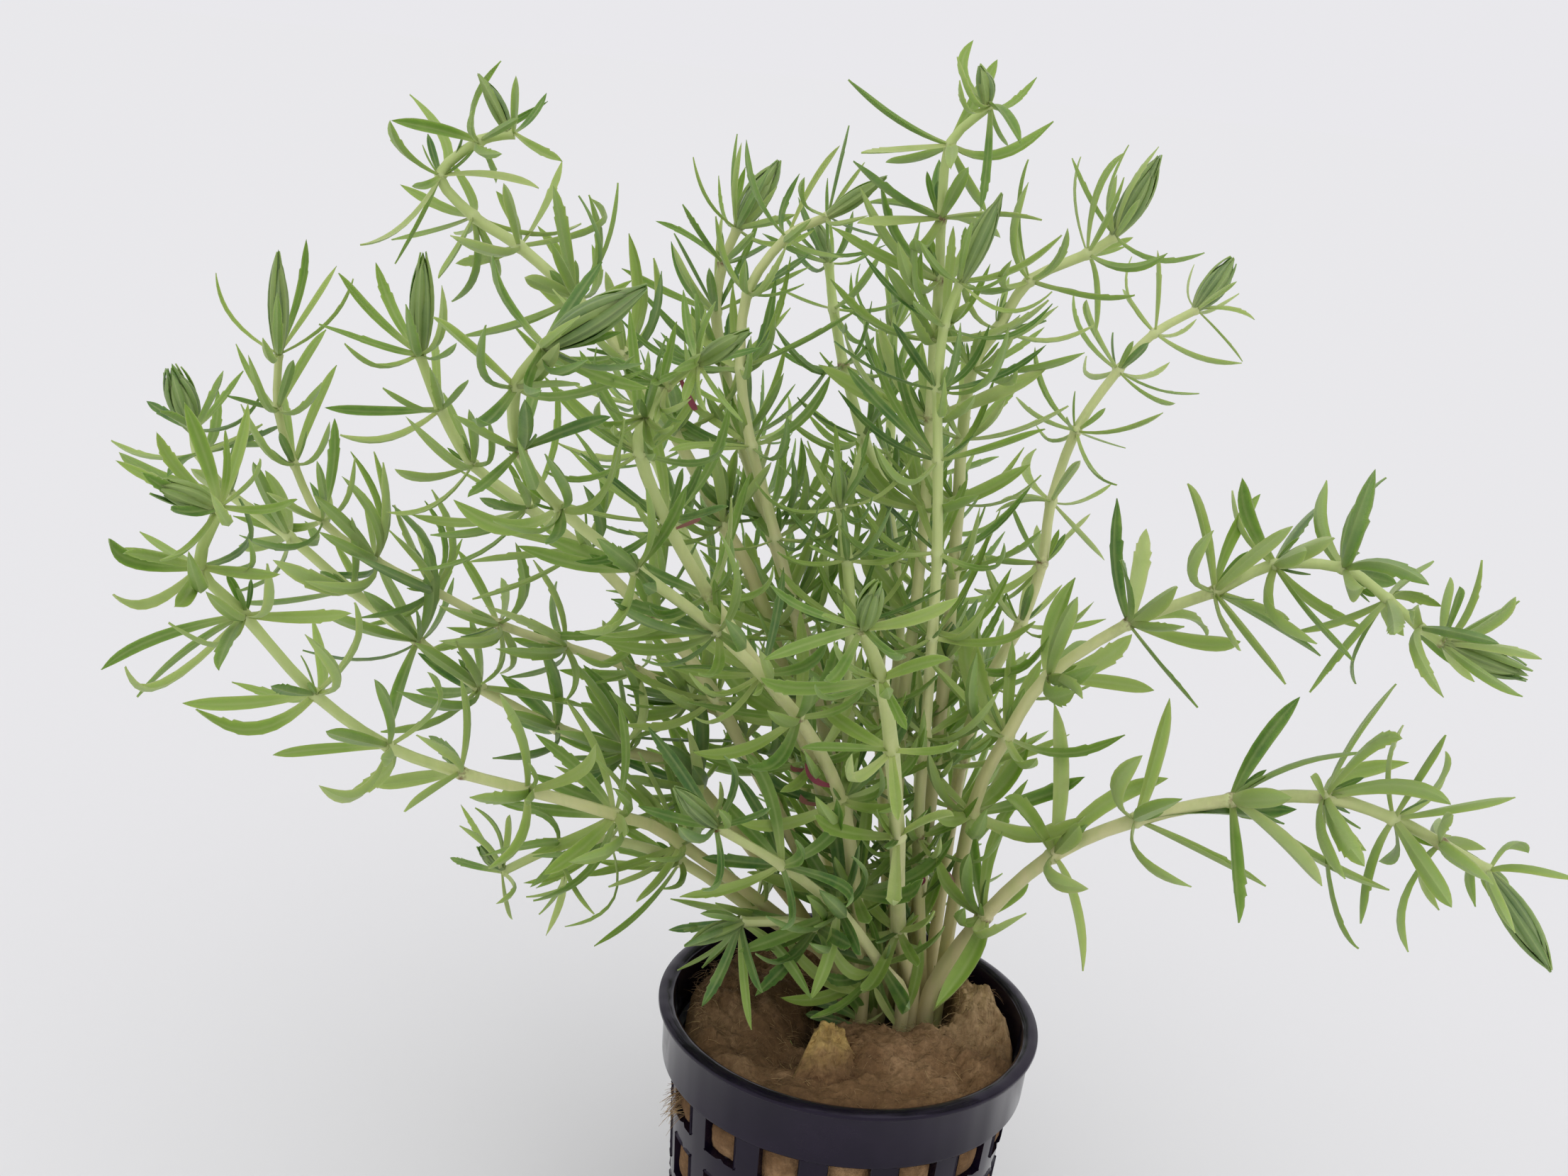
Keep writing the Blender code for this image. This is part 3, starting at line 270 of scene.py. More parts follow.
# For each shoot: the place of its root in the bunch (column, row), the depth of its tip, its closed bud
# (across, down, width in mm), and its whorls from the tip down. A whorl is the place of its node (across,
# down) and its leaves' tips, some with the point (across, down) that the leaf bends through.
SHOOTS = {
    "far_left": ((-3, 0), 8, (240, 515, 4.5), (
        (273, 607, (343, 523), (315, 523), (370, 552), (207, 566), (226, 580)),
        (280, 640, (157, 621, 210, 645), (236, 672), (370, 598), (370, 630)),
        (325, 697, (168, 638, 240, 680)),
        (408, 757, (357, 652), (337, 770), (330, 835), (430, 735)),
        (495, 832, (385, 790), (340, 850, 400, 850)),
        (590, 905, (448, 862), (427, 917, 520, 930), (530, 790), (652, 760), (553, 1025, 565, 970)),
        (677, 970, (587, 973), (537, 1032), (830, 998)),
        (785, 1027, (748, 872, 775, 930)),
        (885, 1060), (985, 1110),
    )),
    "left_front": ((-2, -2), -50, (215, 682, 3.0), (
        (310, 715),
        (283, 800, (155, 760), (197, 750), (160, 838), (247, 855)),
        (345, 868, (143, 945, 220, 900), (177, 940, 230, 968), (193, 983), (308, 945), (495, 865)),
        (445, 980, (327, 962), (257, 992), (277, 1000, 360, 1030), (430, 895), (500, 850)),
        (548, 1053, (385, 1065), (460, 1032), (450, 1108, 510, 1120)),
        (650, 1090, (525, 1108), (570, 1145), (587, 1037), (650, 960)),
        (745, 1115, (705, 980), (840, 1050)),
        (868, 1150), (985, 1200),
    )),
    "left_upper": ((-3, 1), 5, (393, 352, 2.8), (
        (393, 500, (305, 385), (432, 338), (475, 375), (498, 393)),
        (392, 578, (333, 485), (320, 558), (460, 465)),
        (415, 655, (398, 550), (475, 515), (465, 595), (340, 570)),
        (455, 735, (472, 590), (500, 645), (437, 680)),
        (530, 790), (610, 832),
        (703, 880, (727, 765), (645, 775), (630, 885), (678, 965), (707, 815)),
        (797, 912, (752, 790), (785, 820), (795, 990)),
        (897, 945, (850, 875), (905, 880), (1015, 925), (788, 945), (885, 1045)),
        (973, 988), (1048, 1045),
    )),
    "left_inner": ((-2, 0), -10, (597, 355, 3.0), (
        (592, 500, (478, 385), (530, 370), (450, 457, 540, 490)),
        (622, 578, (540, 547), (458, 575), (480, 613, 550, 620), (615, 480)),
        (667, 655, (557, 662, 610, 675), (545, 722, 610, 715)),
        (745, 715), (822, 775), (915, 870), (1010, 985),
    )),
    "top_left": ((-2, 1), 15, (673, 102, 2.4), (
        (725, 188, (728, 107), (793, 227)),
        (675, 200, (707, 86), (773, 143), (552, 170), (708, 217), (667, 157)),
        (622, 248, (578, 133, 628, 200), (550, 170, 570, 215), (508, 345, 570, 318), (557, 372),
         (760, 265)),
        (668, 305, (552, 338), (618, 392), (637, 425), (820, 315), (697, 400)),
        (733, 348, (833, 280, 845, 320)),
        (812, 420), (880, 500), (950, 610), (1020, 740), (1085, 880),
    )),
    "big_bud": ((-2, -3), -45, (915, 402, 4.2), (
        (768, 488),
        (727, 547, (612, 447), (672, 590), (915, 520, 800, 560), (818, 542)),
        (733, 635, (640, 585), (660, 700), (862, 588), (765, 510)),
        (790, 717, (640, 705, 720, 745), (880, 590, 850, 700)),
        (897, 803, (765, 755), (730, 770)),
        (1013, 892, (862, 845), (838, 902), (1015, 752), (1040, 790)),
        (1126, 1012), (1187, 1130), (1205, 1250),
    )),
    "middle_front": ((-1, -2), -30, (1060, 465, 2.4), (
        (985, 512, (1075, 490), (920, 540), (1010, 425)),
        (940, 545, (860, 505)),
        (911, 588, (842, 490)),
        (903, 640), (940, 735), (1000, 840), (1075, 950), (1140, 1080),
    )),
    "middle_left": ((-1, 1), 25, (1100, 225, 4.2), (
        (1040, 322),
        (1020, 372, (963, 288), (925, 312)),
        (1010, 440), (1022, 520), (1045, 620), (1080, 730), (1120, 850), (1160, 980),
    )),
    "middle_top": ((-1, 0), 8, (1253, 247, 2.2), (
        (1168, 305, (1198, 177), (1135, 250), (1220, 229)),
        (1110, 335, (1053, 197), (1185, 205), (1250, 345)),
        (1055, 413, (1010, 305)),
        (1045, 520), (1060, 630), (1095, 760), (1130, 900), (1165, 1040),
    )),
    "middle_back": ((0, 1), 35, (1150, 310, 2.4), (
        (1169, 371),
        (1176, 436, (1280, 420), (1222, 475)),
        (1190, 515, (1233, 475)),
        (1218, 616), (1247, 690), (1262, 790), (1268, 920), (1262, 1060),
    )),
    "top": ((0, 0), 4, (1382, 90, 2.4), (
        (1397, 148, (1373, 57, 1358, 105), (1440, 203, 1415, 160), (1383, 295, 1392, 230)),
        (1340, 205, (1197, 112, 1265, 170), (1215, 215, 1270, 212), (1407, 84), (1486, 171, 1410, 222),
         (1392, 300, 1362, 255)),
        (1328, 308, (1204, 227, 1265, 280), (1210, 314, 1260, 312), (1470, 310), (1366, 236), (1325, 225)),
        (1325, 395), (1318, 480), (1312, 590), (1305, 720), (1290, 870), (1270, 1040),
    )),
    "top_bud": ((1, -1), -5, (1415, 270, 3.0), (
        (1355, 398, (1362, 320), (1425, 385), (1484, 411, 1420, 440)),
        (1332, 460), (1323, 550), (1323, 650), (1322, 780), (1315, 900), (1305, 1040), (1295, 1180),
    )),
    "top_right": ((1, 0), 15, (1637, 217, 3.8), (
        (1573, 334),
        (1534, 358, (1525, 221, 1516, 280), (1587, 215, 1548, 270), (1590, 347), (1647, 357, 1590, 378),
         (1545, 476, 1545, 400)),
        (1453, 396, (1506, 322, 1490, 370), (1601, 416, 1540, 420), (1451, 225, 1437, 300), (1365, 398)),
        (1408, 463, (1546, 457, 1480, 482)),
        (1372, 520), (1357, 620), (1352, 710),
        (1345, 805, (1469, 748, 1420, 785)),
        (1335, 930), (1318, 1080),
    )),
    "right_upper": ((2, 0), 45, (1742, 362, 4.0), (
        (1688, 437, (1770, 451, 1735, 437), (1753, 510, 1725, 475), (1685, 373, 1675, 410), (1745, 397)),
        (1629, 470, (1584, 408), (1597, 362), (1633, 353), (1752, 512, 1690, 505), (1688, 450, 1660, 473)),
        (1577, 523, (1515, 415, 1525, 470), (1533, 502), (1650, 511, 1615, 533), (1692, 555, 1635, 550),
         (1658, 569, 1620, 560)),
        (1518, 608, (1460, 489, 1475, 555), (1434, 560, 1465, 590), (1641, 582, 1580, 608), (1588, 632),
         (1576, 684, 1538, 660)),
        (1483, 708, (1462, 633, 1448, 670), (1405, 722), (1524, 650), (1558, 790, 1520, 750)),
        (1470, 795, (1372, 785), (1375, 830), (1410, 845)),
        (1440, 880), (1392, 965), (1355, 1080),
    )),
    "right": ((2, -1), -15, (2160, 955, 4.0), (
        (2035, 908, (2047, 815, 2035, 860), (2091, 790, 2070, 860), (2144, 848), (2175, 930, 2110, 913),
         (2148, 983)),
        (2003, 885, (1998, 907), (1995, 862)),
        (1957, 845, (2023, 792), (1825, 892, 1900, 870), (1848, 977, 1900, 905), (1913, 965, 1912, 920),
         (1980, 897)),
        (1895, 802, (1872, 678, 1862, 740), (1940, 662, 1905, 760), (2016, 825, 1950, 795), (1970, 823)),
        (1797, 797, (1753, 675), (1862, 713, 1825, 750), (1843, 777), (1924, 886, 1850, 850),
         (1909, 932, 1850, 870)),
        (1712, 835, (1676, 682, 1697, 750), (1778, 697, 1735, 760), (1824, 742), (1863, 925, 1800, 885),
         (1814, 965, 1760, 900)),
        (1592, 880, (1576, 703, 1572, 800), (1617, 746), (1661, 828), (1750, 905, 1680, 908),
         (1690, 998, 1640, 940)),
        (1478, 955, (1517, 815, 1485, 890), (1520, 842), (1628, 974, 1560, 962), (1597, 895, 1540, 940)),
        (1420, 1040), (1370, 1150),
    )),
    "right_low": ((2, -2), -20, (2190, 1373, 4.3), (
        (2100, 1228, (2156, 1203, 2130, 1190), (2228, 1242, 2150, 1222)),
        (2033, 1190, (2096, 1198), (1987, 1343, 1978, 1270)),
        (1965, 1155, (1980, 1023, 1958, 1080), (2040, 1037, 2010, 1080), (2138, 1125, 2050, 1140),
         (1920, 1303, 1930, 1220), (2048, 1280)),
        (1868, 1125, (1970, 965, 1910, 1040), (1978, 1042, 1930, 1055), (2047, 1135, 1970, 1108),
         (1917, 1338, 1880, 1270), (1927, 1200)),
        (1736, 1129, (1834, 983, 1775, 1055), (1925, 1062, 1820, 1080), (1748, 1302, 1740, 1210),
         (1865, 1250), (1960, 1255, 1860, 1215)),
        (1602, 1157, (1650, 985, 1625, 1080), (1812, 1162, 1700, 1145), (1786, 1250, 1690, 1200)),
        (1485, 1207, (1418, 1125, 1450, 1155), (1487, 992, 1495, 1100), (1648, 1098, 1555, 1135),
         (1528, 1370, 1513, 1270)),
        (1388, 1290, (1362, 1120, 1372, 1210), (1450, 1100, 1400, 1190), (1320, 1420, 1370, 1350)),
    )),
    "front": ((1, -2), -42, (1240, 820, 3.0), (
        (1216, 886, (1352, 843, 1290, 872), (1077, 931, 1150, 905), (1088, 826), (1274, 924)),
        (1243, 958, (1177, 905), (1150, 965), (1340, 930)),
        (1258, 1059, (1130, 1055), (1350, 1045)),
        (1266, 1181, (1150, 1150), (1345, 1150, 1310, 1158), (1190, 1090)),
        (1265, 1317, (1200, 1205, 1225, 1270), (1318, 1285)),
    )),
    "front_left": ((0, -3), -28, (950, 1110, 2.6), (
        (1010, 1166, (915, 1026), (900, 1137)),
        (1103, 1221), (1183, 1283), (1240, 1355),
    )),
    "low_left": ((-3, -1), -8, (676, 1192, 1.8), (
        (708, 1230, (650, 1135), (635, 1210), (718, 1150), (700, 1275), (722, 1297)),
        (786, 1195, (838, 1290), (770, 1320)),
        (860, 1185), (960, 1215), (1065, 1285),
    )),
    "over_rim": ((-2, -1), -16, (965, 1335, 2.6), (
        (1045, 1300, (943, 1312), (990, 1365), (990, 1420), (1060, 1453), (1145, 1410)),
        (1105, 1330),
    )),
    "middle": ((-1, -1), 0, (1184, 652, 2.4), (
        (1185, 715), (1195, 790), (1200, 880), (1198, 990), (1195, 1110), (1200, 1230),
    )),
    "back_left": ((-2, 2), 62, (885, 500, 2.6), (
        (900, 570), (925, 650), (960, 740), (1005, 840), (1060, 950), (1120, 1080),
    )),
    "back_middle": ((-1, 2), 80, (1050, 550, 2.6), (
        (1065, 620), (1080, 700), (1100, 790), (1125, 890), (1155, 1010), (1185, 1140),
    )),
    "back_tall": ((0, 2), 48, (1262, 400, 2.6), (
        (1260, 470), (1258, 550), (1255, 640), (1250, 750), (1245, 870), (1240, 1000),
    )),
    "back_right": ((1, 2), 72, (1330, 600, 2.6), (
        (1325, 670), (1322, 750), (1318, 840), (1310, 940), (1300, 1060),
    )),
    "back_low": ((2, 1), 62, (1400, 900, 2.6), (
        (1385, 975), (1368, 1050), (1345, 1140), (1320, 1240),
    )),
}

# Further leaf tips that are seen, by shoot and by whorl from the tip down
MORE_LEAVES = {
    "far_left": {1: [(396, 600)], 5: [(600, 770), (640, 815), (587, 860)]},
    "left_front": {1: [(160, 775), (175, 780)], 3: [(440, 870)], 4: [(485, 1125)], 5: [(605, 1038)]},
    "left_upper": {3: [(447, 650), (455, 675)], 6: [(705, 950)]},
    "top_left": {1: [(700, 258)], 2: [(582, 262)], 3: [(640, 328)], 4: [(793, 227)], 5: [(835, 345)]},
    "top": {
        0: [(1354, 113), (1422, 205)],
        1: [(1341, 238), (1250, 228, 1290, 225)],
        2: [(1222, 286), (1290, 335), (1411, 335)],
    },
    "top_right": {1: [(1586, 250, 1560, 310)], 2: [(1427, 367), (1451, 257)], 4: [(1435, 523, 1413, 540)]},
    "right_upper": {
        2: [(1533, 423, 1540, 460), (1573, 505)],
        3: [(1462, 600, 1485, 623), (1505, 588)],
        4: [(1410, 708)],
    },
    "right": {
        0: [(2060, 828, 2050, 860), (2138, 842, 2100, 880), (2080, 962)],
        1: [(2005, 880)],
        2: [(1967, 895)],
        3: [(1956, 674), (1918, 780), (1924, 829, 1905, 832)],
        4: [(1739, 692), (1858, 908)],
        5: [(1819, 874, 1770, 860), (1750, 918, 1725, 880), (1712, 748)],
        6: [(1703, 898, 1670, 870), (1581, 790)],
        7: [(1527, 985, 1505, 965), (1537, 905)],
    },
    "right_low": {
        0: [(2129, 1250)],
        1: [(2032, 1155), (2050, 1150), (2070, 1200)],
        2: [(2040, 1060, 2025, 1110), (1945, 1215, 1970, 1200)],
        3: [(1898, 1240), (1850, 1095), (1925, 1222)],
    },
    "front": {0: [(1160, 868), (1190, 850)]},
    "low_left": {0: [(648, 1165), (670, 1140)], 1: [(760, 1290)]},
    "over_rim": {0: [(965, 1335), (1075, 1400)]},
    "middle_back": {1: [(1193, 455)], 2: [(1250, 525)]},
    "middle_top": {1: [(1128, 245)]},
    "middle_front": {
        0: [(964, 409), (981, 414), (996, 436), (950, 523), (997, 580), (1028, 571), (964, 566)],
        1: [(896, 502), (862, 536), (925, 596), (952, 592), (975, 562)],
        2: [(846, 566), (866, 600), (940, 560), (925, 640), (880, 640), (950, 600)],
    },
}

# Leaves in the crowded middle: the place that each springs from, its tip and the point it bends through
MIDDLE_LEAVES = (
    ((1061, 733), 947, 700, 1006, 733),
    ((1056, 731), 986, 669, 1017, 708),
    ((1044, 658), 944, 636),
    ((1067, 725), 986, 650),
    ((1086, 722), 1103, 614),
    ((1111, 725), 1117, 639),
    ((1125, 683), 1144, 600),
    ((1128, 678), 1183, 578),
    ((1189, 756), 1156, 675),
    ((1189, 756), 1176, 675),
    ((1189, 756), 1192, 706),
    ((1206, 781), 1178, 675, 1211, 728),
    ((1186, 753), 1100, 747),
    ((1208, 778), 1142, 769),
    ((1208, 778), 1283, 753, 1239, 775),
    ((1206, 828), 1092, 747),
    ((1017, 850), 1017, 756),
    ((1044, 850), 1019, 758, 1040, 790),
    ((1322, 639), 1231, 486, 1262, 570),
    ((1318, 636), 1261, 486, 1283, 580),
    ((1322, 641), 1195, 518, 1245, 575),
    ((1247, 658), 1236, 564),
    ((1247, 658), 1192, 619),
    ((1247, 658), 1197, 644),
    ((1247, 658), 1319, 672, 1290, 700),
    ((1253, 708), 1200, 680),
    ((1205, 594), 1125, 560, 1160, 592),
    ((1247, 956), 1073, 956, 1136, 970),
    ((1261, 1061), 1159, 996, 1207, 1033),
    ((1104, 1219), 1016, 1124),
    ((1104, 1219), 990, 1210),
    ((1104, 1219), 1050, 1061, 1087, 1121),
    ((1104, 1219), 1193, 1279, 1190, 1250),
    ((1011, 1164), 1021, 1067),
    ((1190, 1124), 1153, 1033),
    ((1133, 1016), 1010, 927, 1064, 987),
    ((1133, 1016), 976, 1061, 1050, 1059),
    ((1016, 899), 867, 850, 936, 887),
    ((1016, 899), 850, 904, 936, 918),
    ((973, 993), 1113, 1021, 1050, 1012),
)
# How far from that place the whorl may be, in pixels
MIDDLE_REACH = 34
# Leaves that grow from the foremost stem near their foot: the foot, the place that they bend through and
# the tip (across, down), how far the tip stands towards the viewer in mm, half width, tone and look
# (0 is a leaf, 2 a pink young one)
STEM_LEAVES = (
    ((1183, 1283), (1170, 1345), (1143, 1411), 5, 0.85, 0.45, 0),
    ((1100, 1325), (1148, 1372), (1221, 1400), -5, 0.95, 0.7, 0),
    ((1160, 1340), (1195, 1368), (1230, 1371), 2, 0.9, 0.6, 0),
    ((1284, 1440), (1291, 1385), (1298, 1325), -1, 0.8, 0.4, 0),
    ((1261, 1448), (1247, 1420), (1233, 1391), 2, 0.5, 0.9, 0),
    ((1212, 1438), (1175, 1418), (1138, 1412), 3, 0.8, 0.1, 0),
    ((1195, 1446), (1165, 1436), (1136, 1431), 4, 0.7, 0.05, 0),
    ((1228, 1436), (1205, 1410), (1176, 1392), 3, 1.0, 0.2, 0),
    ((1240, 1438), (1222, 1412), (1206, 1384), 2, 0.8, 0.15, 0),
    ((1238, 1442), (1232, 1415), (1228, 1388), 2.5, 0.6, 0.35, 0),
    ((1250, 1440), (1246, 1410), (1240, 1375), -1, 0.6, 0.3, 0),
    ((1327, 1432), (1316, 1400), (1318, 1360), -2, 0.7, 0.4, 0),
    ((1310, 1436), (1330, 1410), (1352, 1393), 1, 0.5, 0.85, 0),
    ((968, 556), (975, 566), (984, 577), 3, 0.4, 0.6, 2),
    ((1161, 1119), (1150, 1100), (1136, 1076), 4, 0.45, 0.6, 2),
    ((1130, 1093), (1123, 1086), (1116, 1079), 4, 0.3, 0.3, 2),
    ((1144, 1141), (1137, 1131), (1130, 1121), 4, 0.4, 0.2, 2),
    ((1183, 981), (1182, 970), (1179, 959), 4, 0.35, 0.6, 2),
    ((1307, 1252), (1302, 1243), (1296, 1233), 4, 0.4, 0.8, 2),
    ((1347, 1250), (1341, 1240), (1336, 1230), 4, 0.4, 0.2, 2),
    ((961, 744), (975, 737), (989, 731), 2, 0.25, 0.2, 2),
)
# How far from its foot the stem may be, in mm
FOOT_REACH = 2.6
# Scraps that lie on the wool: foot and tip (across, down, depth), the place between, half width, tone, look
WOOL_SCRAPS = (
    ((1178, 1441, 3.7), (1216, 1444), (1250, 1424, 2.7), 0.2, 0.9, 0),
    ((1113, 1492, -8), (1114, 1481), (1115, 1468, -6), 0.5, 0.8, 0),
    ((1153, 1454, -3), (1145, 1480), (1133, 1506, -10), 0.5, 0.5, 0),
    ((1131, 1410, 8), (1134, 1398), (1138, 1386, 8), 0.5, 0.3, 2),
)


def sight_line(across, down):
    """The direction in which the viewer sees a place of the frame."""
    right = across - FRAME_CENTRE[0]
    below = down - FRAME_CENTRE[1]
    level_right = right * math.cos(FRAME_LEAN) + below * math.sin(FRAME_LEAN)
    level_below = below * math.cos(FRAME_LEAN) - right * math.sin(FRAME_LEAN)
    forward = Vector((0, math.cos(LOOK_DOWN), -math.sin(LOOK_DOWN)))
    upward = Vector((0, math.sin(LOOK_DOWN), math.cos(LOOK_DOWN)))
    sideways = Vector((1, 0, 0))
    line = forward + sideways * level_right / FOCAL_LENGTH - upward * level_below / FOCAL_LENGTH
    return line.normalized()


def seen(across, down, depth):
    """The point at this depth that the viewer sees at a place of the frame."""
    line = sight_line(across, down)
    return VIEWER + line * ((depth - VIEWER.y) / line.y)


def reached(start, across, down, length):
    """The nearer and the farther point, this far from start, that are seen at a place of the frame."""
    line = sight_line(across, down)
    along = (start - VIEWER).dot(line)
    miss = (start - VIEWER - line * along).length
    spread = math.sqrt(max(length * length - miss * miss, 0.0))
    return VIEWER + line * (along - spread), VIEWER + line * (along + spread)


def seen_place(point):
    """The place of the frame at which the viewer sees a point."""
    offset = point - VIEWER
    ahead = offset.y * math.cos(LOOK_DOWN) - offset.z * math.sin(LOOK_DOWN)
    height = offset.y * math.sin(LOOK_DOWN) + offset.z * math.cos(LOOK_DOWN)
    level_right = FOCAL_LENGTH * offset.x / ahead
    level_below = -FOCAL_LENGTH * height / ahead
    return (
        FRAME_CENTRE[0] + level_right * math.cos(FRAME_LEAN) - level_below * math.sin(FRAME_LEAN),
        FRAME_CENTRE[1] + level_right * math.sin(FRAME_LEAN) + level_below * math.cos(FRAME_LEAN),
    )


def root_place(column, row):
    """Where a shoot's cut foot stands, in a honeycomb of shoots."""
    across = column + 0.5 * (row % 2)
    return Vector((
        ROOT_CENTRE[0] + ROOT_SPACING * across,
        ROOT_CENTRE[1] + ROOT_SPACING * math.sqrt(0.75) * row,
        PIT_FLOOR + GAP,
    ))


def stem_points(root, tip_depth, bud, whorls):
    """The stem's points from its foot to the bud's tip: foot, neck, whorls and bud."""
    foot = root_place(*root)
    neck = Vector((foot.x, foot.y, NECK_HEIGHT))
    places = [bud[:2]] + [whorl[:2] for whorl in whorls]
    places.reverse()
    runs = [0.0]
    for before, after in zip([seen_place(neck)] + places, places):
        runs.append(runs[-1] + math.dist(before, after))
    points = [foot, neck]
    for place, run in zip(places, runs[1:]):
        depth = neck.y + (tip_depth - neck.y) * (run / runs[-1]) ** DEPTH_LAG
        points.append(seen(*place, depth))
    return points


def keep_apart(stems):
    """Moves the stems' points above the neck until the stems pass each other with a gap."""
    samples = [
        (stem, low, (part + 0.5) / STEM_SAMPLES)
        for stem in stems
        for low in range(len(stem) - 1)
        for part in range(STEM_SAMPLES)
    ]
    wanted = 2 * STEM_FOOT_RADIUS * NODE_SWELL + STEM_CLEARANCE
    for _ in range(PARTING_ROUNDS):
        places = [stem[low].lerp(stem[low + 1], share) for stem, low, share in samples]
        near = KDTree(len(places))
        for number, place in enumerate(places):
            near.insert(place, number)
        near.balance()
        moves = []
        for place, (stem, low, share) in zip(places, samples):
            push = Vector()
            for other, number, distance in near.find_range(place, wanted):
                if samples[number][0] is not stem:
                    push += (place - other) * (wanted - distance) / max(distance, 0.01)
            moves.append(push * PARTING_STEP)
        for move, (stem, low, share) in zip(moves, samples):
            if low > 1:
                stem[low] += move * (1 - share)
            if low > 0:
                stem[low + 1] += move * share
    return stems


def frames_along(points):
    """At each point, the stem's direction and two sideways axes that turn with it without twisting."""
    frames = []
    sideways = Vector((1, 0, 0))
    for i in range(len(points)):
        before = points[max(i - 1, 0)]
        after = points[min(i + 1, len(points) - 1)]
        along = (after - before).normalized()
        sideways = (sideways - along * sideways.dot(along)).normalized()
        frames.append((along, sideways, along.cross(sideways)))
    return frames


def outward(frame, angle):
    """The direction away from a stem at an angle round it."""
    _, sideways, other = frame
    return sideways * math.cos(angle) + other * math.sin(angle)


def leaning(along, out, lean):
    return along * math.cos(lean) + out * math.sin(lean)


def usual_length(level):
    """A leaf's length by how many whorls it is below the tip."""
    return LEAF_LENGTH * min(YOUNG_LENGTH + LENGTH_GAIN * level, 1.0)


class Leaf:
    """A leaf's course from its whorl's centre through a middle point to its tip."""

    def __init__(self, start, middle, tip, along, shaped=False):
        self.start = start
        self.middle = middle
        self.tip = tip
        self.shaped = shaped
        self.course = (tip - start).normalized()
        self.face = (along - self.course * along.dot(self.course)).normalized()
        self.across = self.course.cross(self.face)

    def side_view(self):
        """How far the leaf is from pointing straight at or away from the viewer: 0 to 1."""
        return self.course.cross((self.start - VIEWER).normalized()).length


def seen_leaf_choices(start, pick, along, length, placed):
    """Leaves that the viewer sees alike, from the likeliest to the least likely."""
    choices = []
    for stretch in STRETCHES:
        for tip in reached(start, *pick[:2], length * stretch):
            if len(pick) == 4:
                middle = seen(*pick[2:], (start.y + tip.y) / 2)
            else:
                middle = (start + tip) / 2 + along * LEAF_ARCH * (tip - start).length
            leaf = Leaf(start, middle, tip, along, shaped=len(pick) == 4)
            lean = abs(leaf.course.angle(along) - LEAF_ANGLE)
            crowding = sum(max(0.0, CROWDED_ANGLE - leaf.course.angle(old.course)) for old in placed)
            choices.append((lean + crowding + 2.0 * abs(stretch - 1.0), len(choices), leaf))
    return [choice[2] for choice in sorted(choices, key=lambda choice: choice[:2])]


def free_leaf_choices(start, frame, angle, length):
    """Leaves of a whorl's even spread round the stem, turned a little at each further choice."""
    choices = []
    for turn, stretch in TURNS:
        course = leaning(frame[0], outward(frame, angle + turn), LEAF_ANGLE)
        tip = start + course * length * stretch
        choices.append(Leaf(start, (start + tip) / 2, tip, frame[0]))
    return choices


def corners_of(node):
    """A search tree of the corners of one of the frame's nodes, in millimetres."""
    solid = frame["nodes"][node]
    tree = KDTree(len(solid.data.vertices))
    for number, vert in enumerate(solid.data.vertices):
        tree.insert(solid.matrix_world @ vert.co / MM, number)
    tree.balance()
    return tree


def in_frame(choices, corners):
    """The choice whose tip is where the frame's solid has a corner, or None."""
    for leaf in choices:
        if corners.find(leaf.tip)[2] < CORNER_NEAR:
            return leaf
    return None


def clear_of_pot(leaf):
    """Whether a leaf stays above the wool and out of the pot's lip."""
    aside, above = POT_DISTANCE
    for share in (0.5, 0.75, 1.0):
        place = leaf.start.lerp(leaf.tip, share)
        if place.z < POT_HEIGHT + above and math.hypot(place.x, place.y) < LIP_RADIUS + aside:
            return False
    return True


class Shoot:
    """A stem with its whorls, from the foot up, and its bud."""

    def __init__(self, name, points, bud, whorls):
        self.name = name
        self.look = SHOOT_LOOKS[name]
        self.points = points
        self.frames = frames_along(points)
        count = len(points)
        self.radii = [
            STEM_FOOT_RADIUS + (STEM_TIP_RADIUS - STEM_FOOT_RADIUS) * (i / (count - 1)) ** STEM_TAPER
            for i in range(count)
        ]
        self.bud_width = bud[2]
        self.picks = [whorl[2:] for whorl in reversed(whorls)]
        more = MORE_LEAVES.get(name, {})
        self.more = [more.get(len(whorls) - 1 - i, []) for i in range(len(whorls))]
        self.leaves = [[] for _ in self.picks]

    def whorl(self, index):
        """Centre, frame and level below the tip of a whorl, counted from the foot."""
        return self.points[index + 2], self.frames[index + 2], len(self.picks) - 1 - index


def place_frame_leaves(shoot, corners, chance):
    """The leaves that the frame's solid has."""
    for index, picks in enumerate(shoot.picks):
        start, frame_here, level = shoot.whorl(index)
        placed = shoot.leaves[index]
        for pick in picks:
            choices = seen_leaf_choices(start, pick, frame_here[0], usual_length(level), placed)
            leaf = in_frame(choices, corners)
            if leaf is None:
                shoot.more[index] = shoot.more[index] + [pick]
            else:
                placed.append(leaf)
        first = chance.uniform(0, 2 * math.pi)
        length = usual_length(level) * chance.uniform(0.85, 1.0)
        count = LEAVES_PER_WHORL if picks else LEAVES_OUT_OF_SIGHT
        for k in range(count):
            choices = free_leaf_choices(start, frame_here, first + 2 * math.pi * k / count, length)
            leaf = in_frame(choices, corners)
            if leaf is not None:
                placed.append(leaf)


def further_leaf(shoot, index, angle, chance):
    """A leaf that leans out the more, the further its whorl is below the tip."""
    start, frame_here, level = shoot.whorl(index)
    along = frame_here[0]
    least, gain, most = FURTHER_LEAN
    lean = math.radians(min(least + gain * level, most) + chance.uniform(-12, 10))
    course = leaning(along, outward(frame_here, angle), lean)
    length = usual_length(level) * chance.uniform(*FURTHER_LENGTHS)
    middle = start + course * length / 2 + along * length * chance.uniform(-0.08, 0.08)
    return Leaf(start, middle, start + course * length, along)


